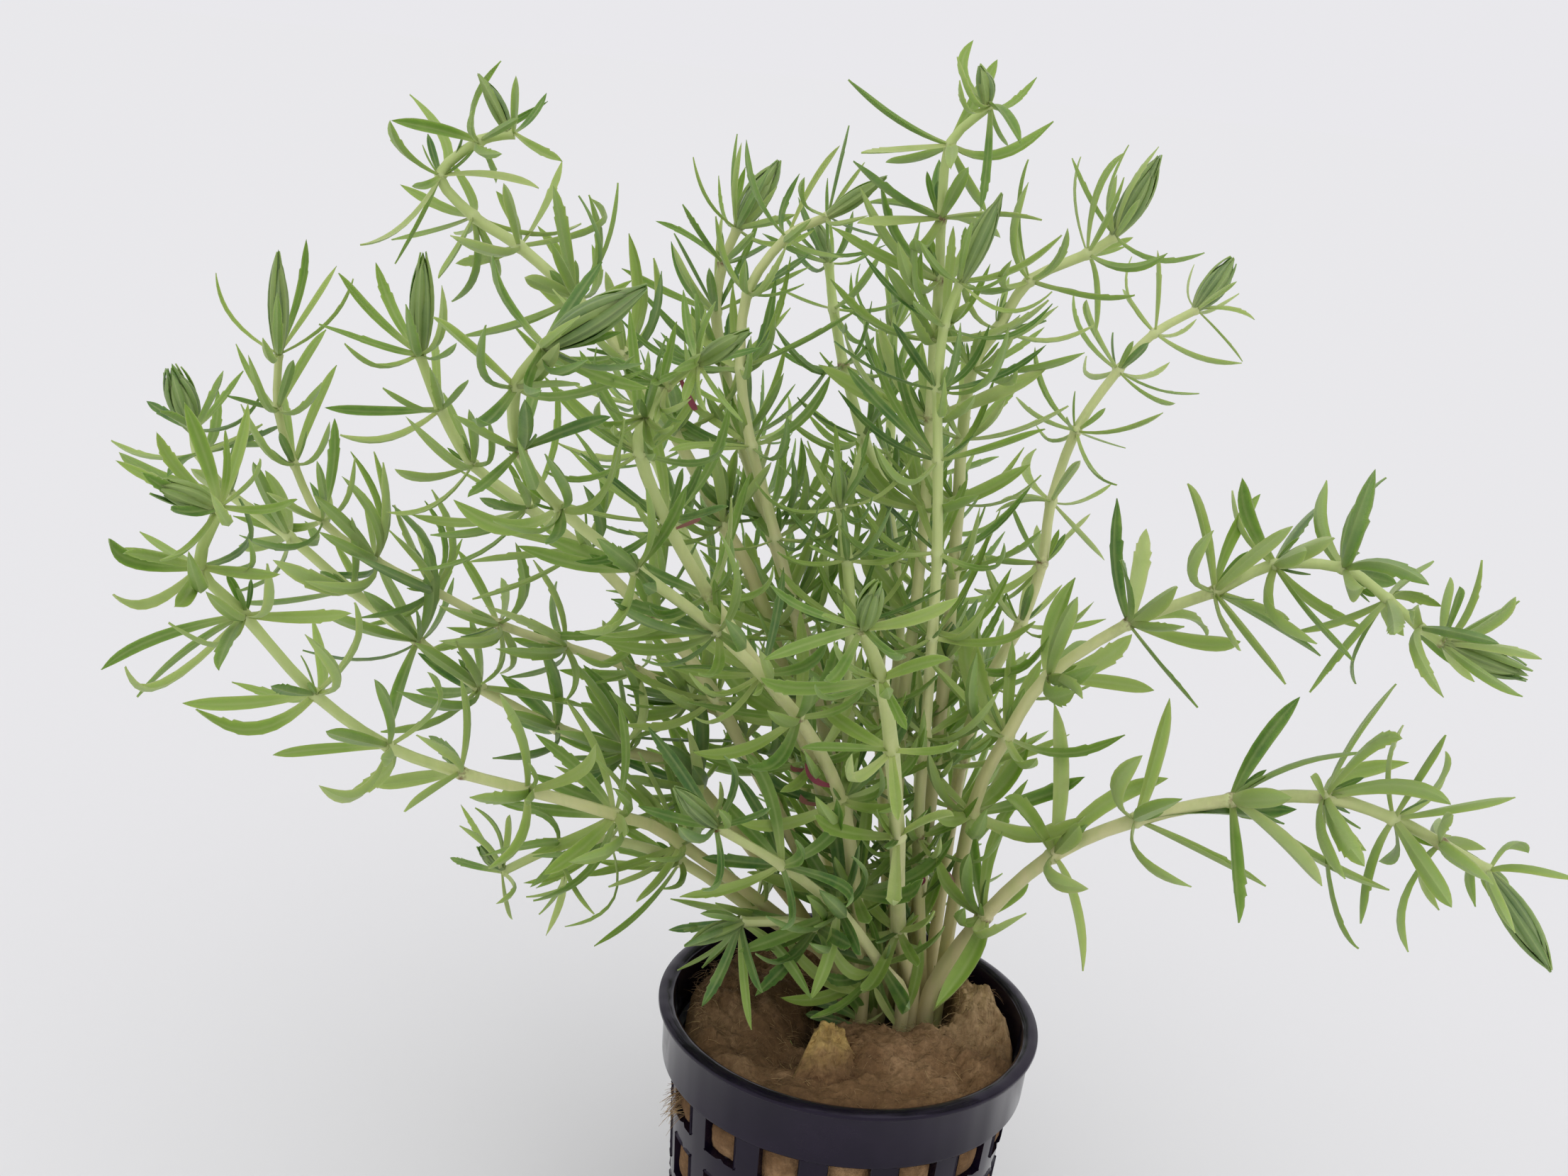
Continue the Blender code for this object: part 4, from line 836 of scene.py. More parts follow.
def place_further_leaves(shoot, chance):
    """The other leaves that are seen, and some that fill the whorls between them."""
    wanted = shoot.look.leaves
    for index, picks in enumerate(shoot.picks):
        start, frame_here, level = shoot.whorl(index)
        placed = shoot.leaves[index]
        for pick in shoot.more[index]:
            placed.append(seen_leaf_choices(start, pick, frame_here[0], usual_length(level), placed)[0])
        first = chance.uniform(0, 2 * math.pi)
        for k in range(wanted * 2):
            if len(placed) >= wanted:
                break
            leaf = further_leaf(shoot, index, first + math.pi * k / wanted, chance)
            if picks and leaf.side_view() > SIDE_VIEW:
                continue
            nearest = min((leaf.course.angle(old.course) for old in placed), default=math.pi)
            if nearest >= FURTHER_LEAF_SPACING and clear_of_pot(leaf):
                placed.append(leaf)


def share_middle_leaves(shoots):
    """Gives each leaf of the crowded middle to the whorl that it is seen to spring from."""
    whorls = [
        (shoot, index, seen_place(shoot.points[index + 2]), shoot.points[index + 2].y)
        for shoot in shoots
        for index in range(len(shoot.picks))
    ]
    for spring, *pick in MIDDLE_LEAVES:
        near = [whorl for whorl in whorls if math.dist(whorl[2], spring) < MIDDLE_REACH]
        if near:
            shoot, index, _, _ = min(near, key=lambda whorl: math.dist(whorl[2], spring) + 0.4 * whorl[3])
            shoot.more[index] = shoot.more[index] + [tuple(pick)]


def grown_shoots():
    """All shoots with their leaves, the frame's first."""
    stems = keep_apart([stem_points(*row) for row in SHOOTS.values()])
    shoots = [Shoot(name, points, row[2], row[3]) for (name, row), points in zip(SHOOTS.items(), stems)]
    frame_chance = random.Random(FRAME_SEED)
    for shoot in shoots:
        place_frame_leaves(shoot, corners_of("shoot_" + shoot.name), frame_chance)
    share_middle_leaves(shoots)
    chance = random.Random(LOOK_SEED)
    for shoot in shoots:
        place_further_leaves(shoot, chance)
    return shoots


def add_object(name, data):
    made = bpy.data.objects.new(name, data)
    bpy.context.scene.collection.objects.link(made)
    return made


def mesh_object(name, corners, faces, materials, sharp=None):
    """A smooth mesh from corners in metres, with edges that are sharp from an angle in degrees."""
    mesh = bpy.data.meshes.new(name)
    mesh.from_pydata(corners, [], faces)
    for look in materials:
        mesh.materials.append(look)
    mesh.shade_smooth()
    if sharp is not None:
        mesh.set_sharp_from_angle(angle=math.radians(sharp))
    return add_object(name, mesh)


class Growth:
    """The corners, faces and looks of a piece while it grows. A look is four numbers for the materials."""

    def __init__(self):
        self.corners = []
        self.faces = []
        self.slots = []
        self.looks = []
        self.count = 0

    def add_skin(self, rows, looks, slot=0):
        """A closed skin over rows of corners, capped at both ends. rows is (rows, around, 3)."""
        high, around, _ = rows.shape
        start = self.count
        self.corners.append(rows.reshape(-1, 3))
        self.looks.append(looks.reshape(-1, 4))
        self.count += high * around
        numbers = start + np.arange(high * around).reshape(high, around)
        after = np.roll(numbers, -1, axis=1)
        quads = np.stack([numbers[:-1], after[:-1], after[1:], numbers[1:]], axis=-1).reshape(-1, 4)
        self.faces += quads.tolist()
        self.faces.append(numbers[0, ::-1].tolist())
        self.faces.append(numbers[-1].tolist())
        self.slots += [slot] * (len(quads) + 2)

    def piece(self, name, materials, sharp=None):
        corners = (np.concatenate(self.corners) * MM).tolist()
        made = mesh_object(name, corners, self.faces, materials, sharp)
        made.data.polygons.foreach_set("material_index", self.slots)
        stored = made.data.attributes.new("look", "FLOAT_COLOR", "POINT")
        stored.data.foreach_set("color", np.concatenate(self.looks).astype(np.float32).ravel())
        return made


def unit(rows):
    return rows / np.maximum(np.linalg.norm(rows, axis=-1, keepdims=True), 1e-9)


def blade_outline(notches):
    """Places along a leaf and its half width there, as shares. Notches sit near the tip."""
    places = list(BLADE_PLACES)
    cuts = [0.0] * len(places)
    for k in range(notches):
        for step, reach in ((0.0, 0.14), (0.018, -0.1)):
            places.append(FIRST_NOTCH + 0.1 * k + step)
            cuts.append(reach)
    order = np.argsort(places)
    places = np.array(places)[order]
    cuts = np.array(cuts)[order]
    widening = 0.45 + 0.55 * np.sin(np.clip(places / 0.55, 0, 1) * np.pi / 2) ** 1.2
    narrowing = 1 - np.clip((places - 0.6) / 0.4, 0, 1) ** TIP_POWER
    return places, widening * narrowing * (1 + cuts) + 0.02


def grow_leaf(growth, leaf, half_width, chance, tone, bent=0.0, twist=1.0, fold=None, notches=0, slot=0):
    """One blade: channelled above, keeled below, narrow at its foot and blunt at its tip."""
    places, widths = blade_outline(notches)
    start, middle, tip = (np.array(point) for point in (leaf.start, leaf.middle, leaf.tip))
    middle = middle + np.array(leaf.face) * np.linalg.norm(tip - start) * bent
    control = 2 * middle - (start + tip) / 2
    t = places[:, None]
    course = (1 - t) ** 2 * start + 2 * t * (1 - t) * control + t * t * tip
    forward = unit(2 * (1 - t) * (control - start) + 2 * t * (tip - control))
    across = np.array(leaf.across)
    across = unit(across - forward * (forward @ across)[:, None])
    upper = np.cross(across, forward)
    turn = (twist * (chance.uniform(-0.4, 0.4) + places * chance.uniform(-0.6, 0.6)))[:, None]
    cos, sin = np.cos(turn), np.sin(turn)
    across, upper = across * cos + upper * sin, upper * cos - across * sin
    if fold is None:
        fold = chance.uniform(0.05, 0.35)
    fullness = 0.4 + 0.6 * np.sin(np.pi * np.clip(places, 0.1, 0.95)) ** 0.5
    thick = min(LEAF_THICKNESS, half_width * 0.4) * fullness
    half = half_width * widths
    sideways = half[:, None] * BLADE_FLAT
    rise = half[:, None] * fold * BLADE_LIFT + thick[:, None] * BLADE_SKIN
    rows = course[:, None, :] + across[:, None, :] * sideways[..., None] + upper[:, None, :] * rise[..., None]
    looks = np.empty((len(places), len(BLADE_FLAT), 4))
    looks[..., 0] = t
    looks[..., 1] = np.abs(BLADE_FLAT)
    looks[..., 2] = tone
    looks[..., 3] = BLADE_SKIN < 0
    growth.add_skin(rows, looks, slot)


def smooth_course(points, shares):
    """A curve through the points and, at each place on it, the segment's number and share."""
    points = [points[0] * 2 - points[1]] + points + [points[-1] * 2 - points[-2]]
    places = []
    for i, run in enumerate(shares):
        a, b, c, d = points[i:i + 4]
        for t in run:
            place = (
                b * 2 + (c - a) * t + (a * 2 - b * 5 + c * 4 - d) * t * t + (b * 3 - a - c * 3 + d) * t ** 3
            ) / 2
            places.append((place, i, t))
    return places


def grow_stem(growth, shoot, chance, slot):
    """A stem with a pale swollen node at each whorl."""
    points = shoot.points[:-1]
    shares = []
    for i in range(len(points) - 1):
        reach = (points[i + 1] - points[i]).length
        near = min(0.8 / reach, 0.2)
        shares.append([0.0, near * 0.45, near, 0.35, 0.65, 1 - near, 1 - near * 0.45])
    shares[-1].append(1.0)
    places = smooth_course(points, shares)
    frames = frames_along([place for place, _, _ in places])
    turns = 2 * np.pi * np.arange(STEM_AROUND) / STEM_AROUND
    four_ribs = (1 + 0.06 * np.cos(4 * turns)) * shoot.look.girth
    rows = []
    looks = []
    tone = chance.random()
    browned = [chance.random() < BROWNED_NODES for _ in points]
    for (place, i, t), (_, sideways, other) in zip(places, frames):
        nearer = i + round(t)
        to_node = min(t, 1 - t) * (points[i + 1] - points[i]).length
        at_node = math.exp(-((to_node / NODE_LENGTH) ** 2)) if i + t > 1.5 else 0.0
        radius = shoot.radii[i] + (shoot.radii[i + 1] - shoot.radii[i]) * t
        radius *= (1 + NODE_RISE * at_node) * (1 + 0.03 * chance.uniform(-1, 1))
        ring = radius * four_ribs
        rows.append(
            np.array(place)
            + np.outer(ring * np.cos(turns), np.array(sideways))
            + np.outer(ring * np.sin(turns), np.array(other))
        )
        share = (i + t) / (len(points) - 1)
        looks.append(np.tile([share, at_node, tone, float(browned[nearer])], (STEM_AROUND, 1)))
    growth.add_skin(np.array(rows), np.array(looks), slot)


def grow_bud(growth, shoot, chance):
    """Young leaves that close over the stem's tip, side by side, the inner ones reaching furthest."""
    base, tip = shoot.points[-2], shoot.points[-1]
    bud_frame = shoot.frames[-1]
    root = base - (base - shoot.points[-3]).normalized() * 0.6
    width = shoot.bud_width * BUD_SLIMNESS
    spread_tips = shoot.look.open_bud
    outer = max(6, round(math.pi * width / BUD_LEAF_WIDTH))
    # Inner and outer ring: the number of leaves, how far they belly out and how short the shortest is
    rings = ((outer // 2, 0.3, 0.95), (outer, 0.5, 0.86 - 0.12 * spread_tips))
    for count, spread, shortest in rings:
        first = chance.uniform(0, 2 * math.pi)
        for k in range(count):
            angle = first + 2 * math.pi * k / count + chance.uniform(-0.12, 0.12)
            out = outward(bud_frame, angle)
            axis = (tip - base) * chance.uniform(shortest, 1.0)
            belly = width * spread * chance.uniform(0.9, 1.02)
            end = base + axis + out * belly * chance.uniform(0.1, 1.0) * spread_tips
            middle = base + axis * 0.5 + out * belly
            leaf = Leaf(root + out * 0.2, middle, end, bud_frame[0])
            leaf.face = (leaf.course * out.dot(leaf.course) - out).normalized()
            leaf.across = leaf.course.cross(leaf.face)
            half = BUD_LEAF_WIDTH * chance.uniform(0.5, 0.62)
            tone = chance.uniform(0.05, 0.45)
            notches = chance.choice((0, 0, 1))
            grow_leaf(growth, leaf, half, chance, tone, twist=0.15, fold=0.12, notches=notches)


def grow_young_leaf(growth, start, frame, ranges, chance):
    """A small leaf on the stem. The ranges are those of its lean, length and tone."""
    leans, lengths, tones = ranges
    out = outward(frame, chance.uniform(0, 2 * math.pi))
    course = leaning(frame[0], out, math.radians(chance.uniform(*leans)))
    length = chance.uniform(*lengths)
    foot = start + out * 0.2
    leaf = Leaf(foot, foot + course * length * 0.5 + out * length * 0.06, foot + course * length, frame[0])
    grow_leaf(growth, leaf, length * chance.uniform(0.07, 0.11), chance, chance.uniform(*tones))


def grow_tuft(growth, shoot, index, chance):
    """Small young leaves in the axils of a whorl."""
    start, frame, _ = shoot.whorl(index)
    ranges = LOW_AXIL_LEAVES if index < 2 else AXIL_LEAVES
    for _ in range(chance.choice((0, 2, 3, 4, 5))):
        grow_young_leaf(growth, start, frame, ranges, chance)


def grow_sprouts(growth, shoot, chance):
    """Small dark leaves on the stem between the wool and its first whorl."""
    points = shoot.points[:-1]
    run = points[2] - points[1]
    along = run.normalized()
    sideways = along.orthogonal().normalized()
    frame = (along, sideways, along.cross(sideways))
    highest = min(SPROUT_REACH / run.length, 0.9)
    shares = [[] for _ in points[1:]]
    shares[1] = [chance.uniform(0.02, highest) for _ in range(SPROUTS)]
    for start, _, _ in smooth_course(points, shares):
        grow_young_leaf(growth, start, frame, SPROUT_LEAVES, chance)


def turn_to_viewer(leaf, share):
    """Twists a leaf so that it shows more of the side that the viewer sees."""
    sight = (VIEWER - leaf.middle).normalized()
    if leaf.face.dot(sight) < 0:
        sight = -sight
    face = leaf.face.lerp(sight, share)
    face -= leaf.course * face.dot(leaf.course)
    if face.length > 0.1:
        leaf.face = face.normalized()
        leaf.across = leaf.course.cross(leaf.face)


def shoot_piece(shoot, chance, materials):
    """A shoot's stem, the leaves and young leaves of its whorls, and its bud."""
    growth = Growth()
    grow_stem(growth, shoot, chance, slot=1)
    wide = LEAF_HALF_WIDTH * shoot.look.width
    least, gain, most = WHORL_WIDTHS
    for index, leaves in enumerate(shoot.leaves):
        level = len(shoot.leaves) - 1 - index
        half = wide * min(least + gain * level, most)
        for leaf in leaves:
            turn_to_viewer(leaf, chance.uniform(*TURNS_TO_VIEWER))
            grow_leaf(
                growth, leaf, half * chance.uniform(*WIDTH_RANGE), chance,
                tone=min(max(chance.gauss(shoot.look.tone, TONE_SPREAD), DARKEST_TONE), 1.0),
                bent=0.0 if leaf.shaped else chance.uniform(*BENDS),
                fold=chance.uniform(*FOLDS),
                notches=chance.choice(NOTCHES),
            )
        if level > 1:
            grow_tuft(growth, shoot, index, chance)
    grow_bud(growth, shoot, chance)
    return growth.piece("leafy_" + shoot.name, materials, sharp=50)


def stem_places(shoots):
    """Places close together on all the stems."""
    places = []
    for shoot in shoots:
        points = shoot.points[:-1]
        shares = [np.linspace(0, 1, 24)] * (len(points) - 1)
        places += [place for place, _, _ in smooth_course(points, shares)]
    return places


def stem_foot(places, across, down):
    """The foremost of the stem places that the viewer sees near a place of the frame."""
    line = sight_line(across, down)
    near = []
    for place in places:
        away = place - VIEWER
        aside = (away - line * away.dot(line)).length
        if aside < FOOT_REACH:
            near.append((place.y + 2 * aside, len(near), place))
    return min(near)[2]


def foot_leaves_piece(shoots, materials):
    """Leaves at the foot of the bunch, scraps on the wool, pink young leaves, small ones low on the stems."""
    chance = random.Random(LOOK_SEED + 3)
    growth = Growth()
    places = stem_places(shoots)
    for foot, bend, tip, forward, half, tone, slot in STEM_LEAVES:
        start = stem_foot(places, *foot)
        leaf = Leaf(start, seen(*bend, start.y - forward / 2), seen(*tip, start.y - forward), VIEWER - start)
        grow_leaf(growth, leaf, half, chance, tone, slot=slot)
    for foot, bend, tip, half, tone, slot in WOOL_SCRAPS:
        start = seen(*foot)
        leaf = Leaf(start, seen(*bend, (foot[2] + tip[2]) / 2), seen(*tip), VIEWER - start)
        grow_leaf(growth, leaf, half, chance, tone, slot=slot)
    for shoot in shoots:
        if shoot.look.leafy_foot:
            grow_sprouts(growth, shoot, chance)
    return growth.piece("foot_leaves", materials, sharp=50)


def pot_rings():
    """The pot's section as (radius, height, starts a window row), up the outside and down the inside."""
    outer = [(0.0, False)]
    for low, high in WINDOW_ROWS:
        outer += [(low, True), (high, False)]
    outer.append((BAND_BOTTOM, False))
    rings = [(POT_FOOT_RADIUS + WALL_SLOPE * height, height, window) for height, window in outer]
    lip_bottom = POT_HEIGHT - LIP_DEPTH
    bead = (LIP_RADIUS - LIP_INNER_RADIUS) / 2
    rings += [
        (BAND_LOW_RADIUS, BAND_BOTTOM, False),
        (BAND_LOW_RADIUS + 0.1, BAND_BOTTOM + 0.6, False),
        (BAND_TOP_RADIUS, lip_bottom - 0.3, False),
        (BAND_TOP_RADIUS + 0.15, lip_bottom, False),
    ]
    for angle in np.linspace(*BEAD_ANGLES, BEAD_STEPS):
        rings.append((
            LIP_RADIUS - bead + bead * math.cos(angle),
            POT_HEIGHT - LIP_DEPTH / 2 + LIP_DEPTH / 2 * math.sin(angle),
            False,
        ))
    rings.append((BAND_LOW_RADIUS - POT_WALL, BAND_BOTTOM + POT_FLOOR, False))
    inner = [(BAND_BOTTOM + POT_FLOOR - 0.3, False)]
    for low, high in reversed(WINDOW_ROWS):
        inner += [(high, True), (low, False)]
    inner.append((POT_FLOOR, False))
    return rings + [
        (POT_FOOT_RADIUS + WALL_SLOPE * height - POT_WALL, height, window) for height, window in inner
    ]


def pot_piece(look):
    """The moulded pot: a turned section whose wall is open in rows of windows."""
    rings = pot_rings()
    count = WINDOWS_AROUND * STEPS_PER_WINDOW
    step = 2 * math.pi / count
    first = math.radians(FIRST_WINDOW_DEGREES) - step * OPEN_STEPS / 2
    corners = [
        (radius * math.cos(first + step * k) * MM, radius * math.sin(first + step * k) * MM, height * MM)
        for radius, height, _ in rings
        for k in range(count)
    ]
    last = len(rings) - 1
    faces = []
    for i in range(last):
        for k in range(count):
            is_open = rings[i][2] and k % STEPS_PER_WINDOW < OPEN_STEPS
            after = (k + 1) % count
            low, high = i * count, (i + 1) * count
            if not is_open:
                faces.append((low + k, low + after, high + after, high + k))
            elif i < last / 2:
                faces += window_sides(low, high, (last - i) * count, (last - i - 1) * count, k, after)
    faces.append(tuple(reversed(range(count))))
    faces.append(tuple(range(last * count, (last + 1) * count)))
    pot = mesh_object("pot_moulding", corners, faces, [look], sharp=35)
    bevel = pot.modifiers.new("soft edges", "BEVEL")
    bevel.width = POT_EDGE * MM
    bevel.segments = 2
    bevel.limit_method = "ANGLE"
    bevel.angle_limit = math.radians(40)
    return pot


def window_sides(out_low, out_high, in_low, in_high, k, after):
    """The faces through the wall at one step of a window."""
    sides = [
        (out_low + after, out_low + k, in_low + k, in_low + after),
        (out_high + k, out_high + after, in_high + after, in_high + k),
    ]
    if k % STEPS_PER_WINDOW == 0:
        sides.append((out_low + k, out_high + k, in_high + k, in_low + k))
    if k % STEPS_PER_WINDOW == OPEN_STEPS - 1:
        sides.append((out_high + after, out_low + after, in_low + after, in_high + after))
    return sides


def wool_height(x, y):
    height = WOOL_TOP
    for lump_x, lump_y, lump_height, spread in WOOL_LUMPS:
        height += lump_height * math.exp(-((x - lump_x) ** 2 + (y - lump_y) ** 2) / (2 * spread * spread))
    return height


def rough(x, y, z, scale, depth=4):
    """Layered noise, about -1 to 1."""
    return noise.fractal(Vector((x, y, z)) / scale, 0.9, 2.0, depth)


def swell(x, y):
    """The wide unevenness of the wool's top."""
    return 1.3 * rough(x, y, 5.0, 4.2)


def window_share(angle, height):
    """How far a place on the basket's wall is inside a window: 0 on the bars, 1 in the middle."""
    step = 360 / WINDOWS_AROUND
    off = (math.degrees(angle) - FIRST_WINDOW_DEGREES + step / 2) % step - step / 2
    sideways = max(0.0, 1 - (off / (WINDOW_DEGREES / 2)) ** 2)
    upright = max(
        max(0.0, 1 - ((height - (low + high) / 2) / ((high - low) / 2)) ** 2) for low, high in WINDOW_ROWS
    )
    return math.sqrt(sideways * upright)


def front_share(angle):
    """1 in front, where the wool's top reaches the pot's lip, and 0 at the back."""
    return min(1.0, max(0.0, -1.6 * math.sin(angle) - 0.1 + 0.5 * max(0.0, math.cos(angle))))


def pit_reach(angle):
    """How far the hollow round the shoots reaches: a half circle behind and squarer in front."""
    power = PIT_SQUARENESS if math.sin(angle) < 0 else 2.0
    across, along = abs(math.cos(angle)), abs(math.sin(angle))
    uneven = 1 + 0.07 * rough(math.cos(angle) * 6, math.sin(angle) * 6, 2.0, 2.5)
    return PIT_RADIUS * uneven * (across ** power + along ** power) ** (-1 / power)


def top_light_and_shade(x, y, height):
    """The painted shade and painted light of the wool's top at a place: shade on its left and in its low
    hollows, light on the mound to the right.
    """
    # Painted shade on the left side, which the shoots overhang, and in the low hollows
    left_shade = LEFT_SHADE_SHARE * min(max((-x - 2.0) / 8.0, 0.0), 1.0)
    hollow_shade = min(max((DARK_BELOW - height) / 3.0, 0.0), 0.85)
    # Painted light on the mound on the right, which the shoots shade
    mound_x, mound_y, spread = PAINTED_LIGHT_MOUND
    pale = math.exp(-((x - mound_x) ** 2 + (y - mound_y) ** 2) / (2 * spread * spread))
    return max(left_shade, hollow_shade), 0.0, pale, 0.0


def wall_place(angle, height):
    """A place on the wool's side, which bulges into the pot's windows."""
    x, y = math.cos(angle), math.sin(angle)
    radius = POT_FOOT_RADIUS - POT_WALL - GAP / 2 + WALL_SLOPE * height
    radius += WINDOW_BULGE * window_share(angle, height)
    radius += 0.22 * rough(x * radius, y * radius, height, 1.6)
    return x * radius, y * radius, height


def top_place(angle, share):
    """A place on the wool's top, from its rounded outer edge (0) to the brim of the pit (1)."""
    front = front_share(angle)
    shoulder = WOOL_SHOULDER + (FRONT_SHOULDER - WOOL_SHOULDER) * front
    reach = pit_reach(angle)
    x = shoulder * math.cos(angle) * (1 - share) + (PIT_CENTRE[0] + reach * math.cos(angle)) * share
    y = shoulder * math.sin(angle) * (1 - share) + (PIT_CENTRE[1] + reach * math.sin(angle)) * share
    rounded = 0.3 - 0.18 * front
    outer_edge = (3.4 - 2.8 * front) * (1 - min(share / rounded, 1.0)) ** 2
    inner_edge = 2.0 * max(0.0, (share - 0.9) / 0.1) ** 2
    height = wool_height(x, y) - outer_edge - inner_edge
    return x, y, height + (swell(x, y) + 0.7 * rough(x, y, 0.0, 1.2))


def pit_place(angle, share):
    """A place in the pit round the shoots, from its brim (0) to the middle of its floor (1)."""
    reach = pit_reach(angle) * (1 - share)
    x, y = PIT_CENTRE[0] + reach * math.cos(angle), PIT_CENTRE[1] + reach * math.sin(angle)
    brim = wool_height(x, y) - 2.0
    fall = (brim - SEEN_PIT_FLOOR) * min(1.0, share * 5.0) ** 0.7
    return x, y, brim - fall + 0.35 * rough(x, y, 9.0, 1.6)


def wool_piece(look):
    """The wool: it bulges into the windows, and its torn top lies open round the shoots."""
    turns = 2 * np.pi * np.arange(WOOL_AROUND) / WOOL_AROUND
    rows = []
    looks = []
    for height in np.linspace(POT_FLOOR + GAP, BAND_BOTTOM, 44):
        rows.append([wall_place(angle, height) for angle in turns])
        looks.append([(0.0, 0.0, 0.0, 0.0)] * WOOL_AROUND)
    for share in np.concatenate([np.linspace(0, 0.88, 46), np.linspace(0.895, 1.0, 10)]):
        rows.append([top_place(angle, share) for angle in turns])
        looks.append([top_light_and_shade(*place) for place in rows[-1]])
    for share in np.linspace(0.05, 1.0, 18):
        rows.append([pit_place(angle, share) for angle in turns])
        # Painted shade: the pit grows darker towards its floor
        looks.append([(0.2 + 0.8 * min(share * 5, 1.0), 0.0, 0.0, 0.0)] * WOOL_AROUND)
    growth = Growth()
    growth.add_skin(np.array(rows), np.array(looks))
    return growth.piece("wool_block", [look])


def through(points, share):
    """The place on the curve through three points."""
    a, b, c = points
    return a * (1 - share) * (1 - 2 * share) + b * 4 * share * (1 - share) + c * share * (2 * share - 1)


def flared(low, high, share):
    """The place between low and high, for a side that spreads near its foot."""
    place = low.lerp(high, share)
    place.x = low.x + (high.x - low.x) * share ** 0.6
    return place


def flap_edges():
    """Three places along the flap's foot and three along its top."""
    return [seen(*place) for place in FLAP_FOOT], [seen(*place) for place in FLAP_TOP]


def flap_piece(look):
    """The torn flap of wool: it rises from the front of the mound to a ragged edge and drops behind it."""
    foot, top = flap_edges()
    foot = [place - Vector((0, 0, FLAP_SUNK)) for place in foot]
    growth = Growth()
    rows = []
    shares = np.linspace(0, 1, 30)
    for across in np.linspace(0, 1, 60):
        low, high = through(foot, across), through(top, across)
        merging = max((across - FLAP_MERGES) / (1 - FLAP_MERGES), 0.0) ** 1.5
        high.z += (wool_height(high.x, high.y) - 0.6 - high.z) * merging
        high.z += 0.7 * rough(across * 9, 0, 7.0, 1.7)
        back = Vector((high.x, high.y + FLAP_THICKNESS, low.z))
        bulge = 1.1 - 0.9 * math.sin(math.pi * across)
        ring = [
            flared(low, high, share) + Vector((0, 0, bulge * math.sin(math.pi * share))) for share in shares
        ]
        ring += [high.lerp(back, share) for share in shares[7::7]]
        row = []
        for place in ring:
            push = 0.9 * rough(place.x, place.y, place.z, 2.6) + 0.4 * rough(place.z, place.x, place.y, 0.9)
            row.append(tuple(place + Vector((0.3 * push, -push, 0.6 * push))))
        rows.append(row)
    rows = np.array(rows)
    looks = np.zeros((*rows.shape[:2], 4))
    looks[:, :len(shares), 1] = np.clip(shares * 1.7 - 0.5, 0.0, 1.0)
    looks[:, len(shares):, 1] = 0.4
    growth.add_skin(rows, looks)
    return growth.piece("wool_flap", [look])


def grow_fibre(growth, start, course, length, radius, sag, chance):
    """One thin curved strand."""
    anywhere = Vector([chance.uniform(-1, 1) for _ in range(3)])
    side = course.cross(anywhere).normalized()
    other = course.cross(side)
    curl = chance.uniform(-0.5, 0.5)
    rows = []
    for share in np.linspace(0, 1, FIBRE_STEPS):
        centre = start + course * length * share + side * curl * length * share * share
        centre = centre - Vector((0, 0, sag * length * share * share))
        width = radius * (1 - 0.6 * share)
        rows.append([
            tuple(centre + (side * math.cos(turn) + other * math.sin(turn)) * width) for turn in FIBRE_TURNS
        ])
    looks = np.tile([0.0, 0.0, chance.random(), 0.0], (FIBRE_STEPS, len(FIBRE_TURNS), 1))
    growth.add_skin(np.array(rows), looks)


def fibres_piece(look):
    """Loose strands on the wool's top, short ones on the torn flap and a wisp out of a window."""
    chance = random.Random(LOOK_SEED + 1)
    growth = Growth()
    for _ in range(TOP_FIBRES):
        angle = chance.uniform(0, 2 * math.pi)
        reach = (LIP_INNER_RADIUS - 2.8) * math.sqrt(chance.random())
        x, y = reach * math.cos(angle), reach * math.sin(angle)
        bearing = math.atan2(y - PIT_CENTRE[1], x - PIT_CENTRE[0])
        if math.hypot(x - PIT_CENTRE[0], y - PIT_CENTRE[1]) < pit_reach(bearing) - 0.6:
            continue
        start = Vector((x, y, wool_height(x, y) - 0.35 + swell(x, y)))
        turn = chance.uniform(0, 2 * math.pi)
        course = Vector((math.cos(turn), math.sin(turn), chance.uniform(-0.1, 0.3))).normalized()
        length = min(chance.uniform(0.8, 2.8), max(LIP_INNER_RADIUS - 0.8 - reach, 0.6))
        grow_fibre(growth, start, course, length, chance.uniform(*FIBRE_RADII), 0.3, chance)
    foot, top = flap_edges()
    for _ in range(FLAP_FIBRES):
        across, share = chance.uniform(0.1, 0.8), chance.random() ** 0.6
        start = through(foot, across).lerp(through(top, across), share) - Vector((0, 0, 0.7 + 0.3 * share))
        course = Vector((chance.uniform(-0.5, 0.5), chance.uniform(-0.7, 0.2), 1)).normalized()
        grow_fibre(growth, start, course, chance.uniform(0.5, 1.3), FLAP_FIBRE_RADIUS, 0.1, chance)
    for _ in range(WISP_FIBRES):
        start = Vector([chance.uniform(*span) for span in WISP_BOX])
        course = Vector((-1, chance.uniform(-0.5, 0.5), chance.uniform(-0.8, 0.4))).normalized()
        grow_fibre(growth, start, course, chance.uniform(1.2, 3.2), WISP_FIBRE_RADIUS, 0.5, chance)
    return growth.piece("wool_fibres", [look])


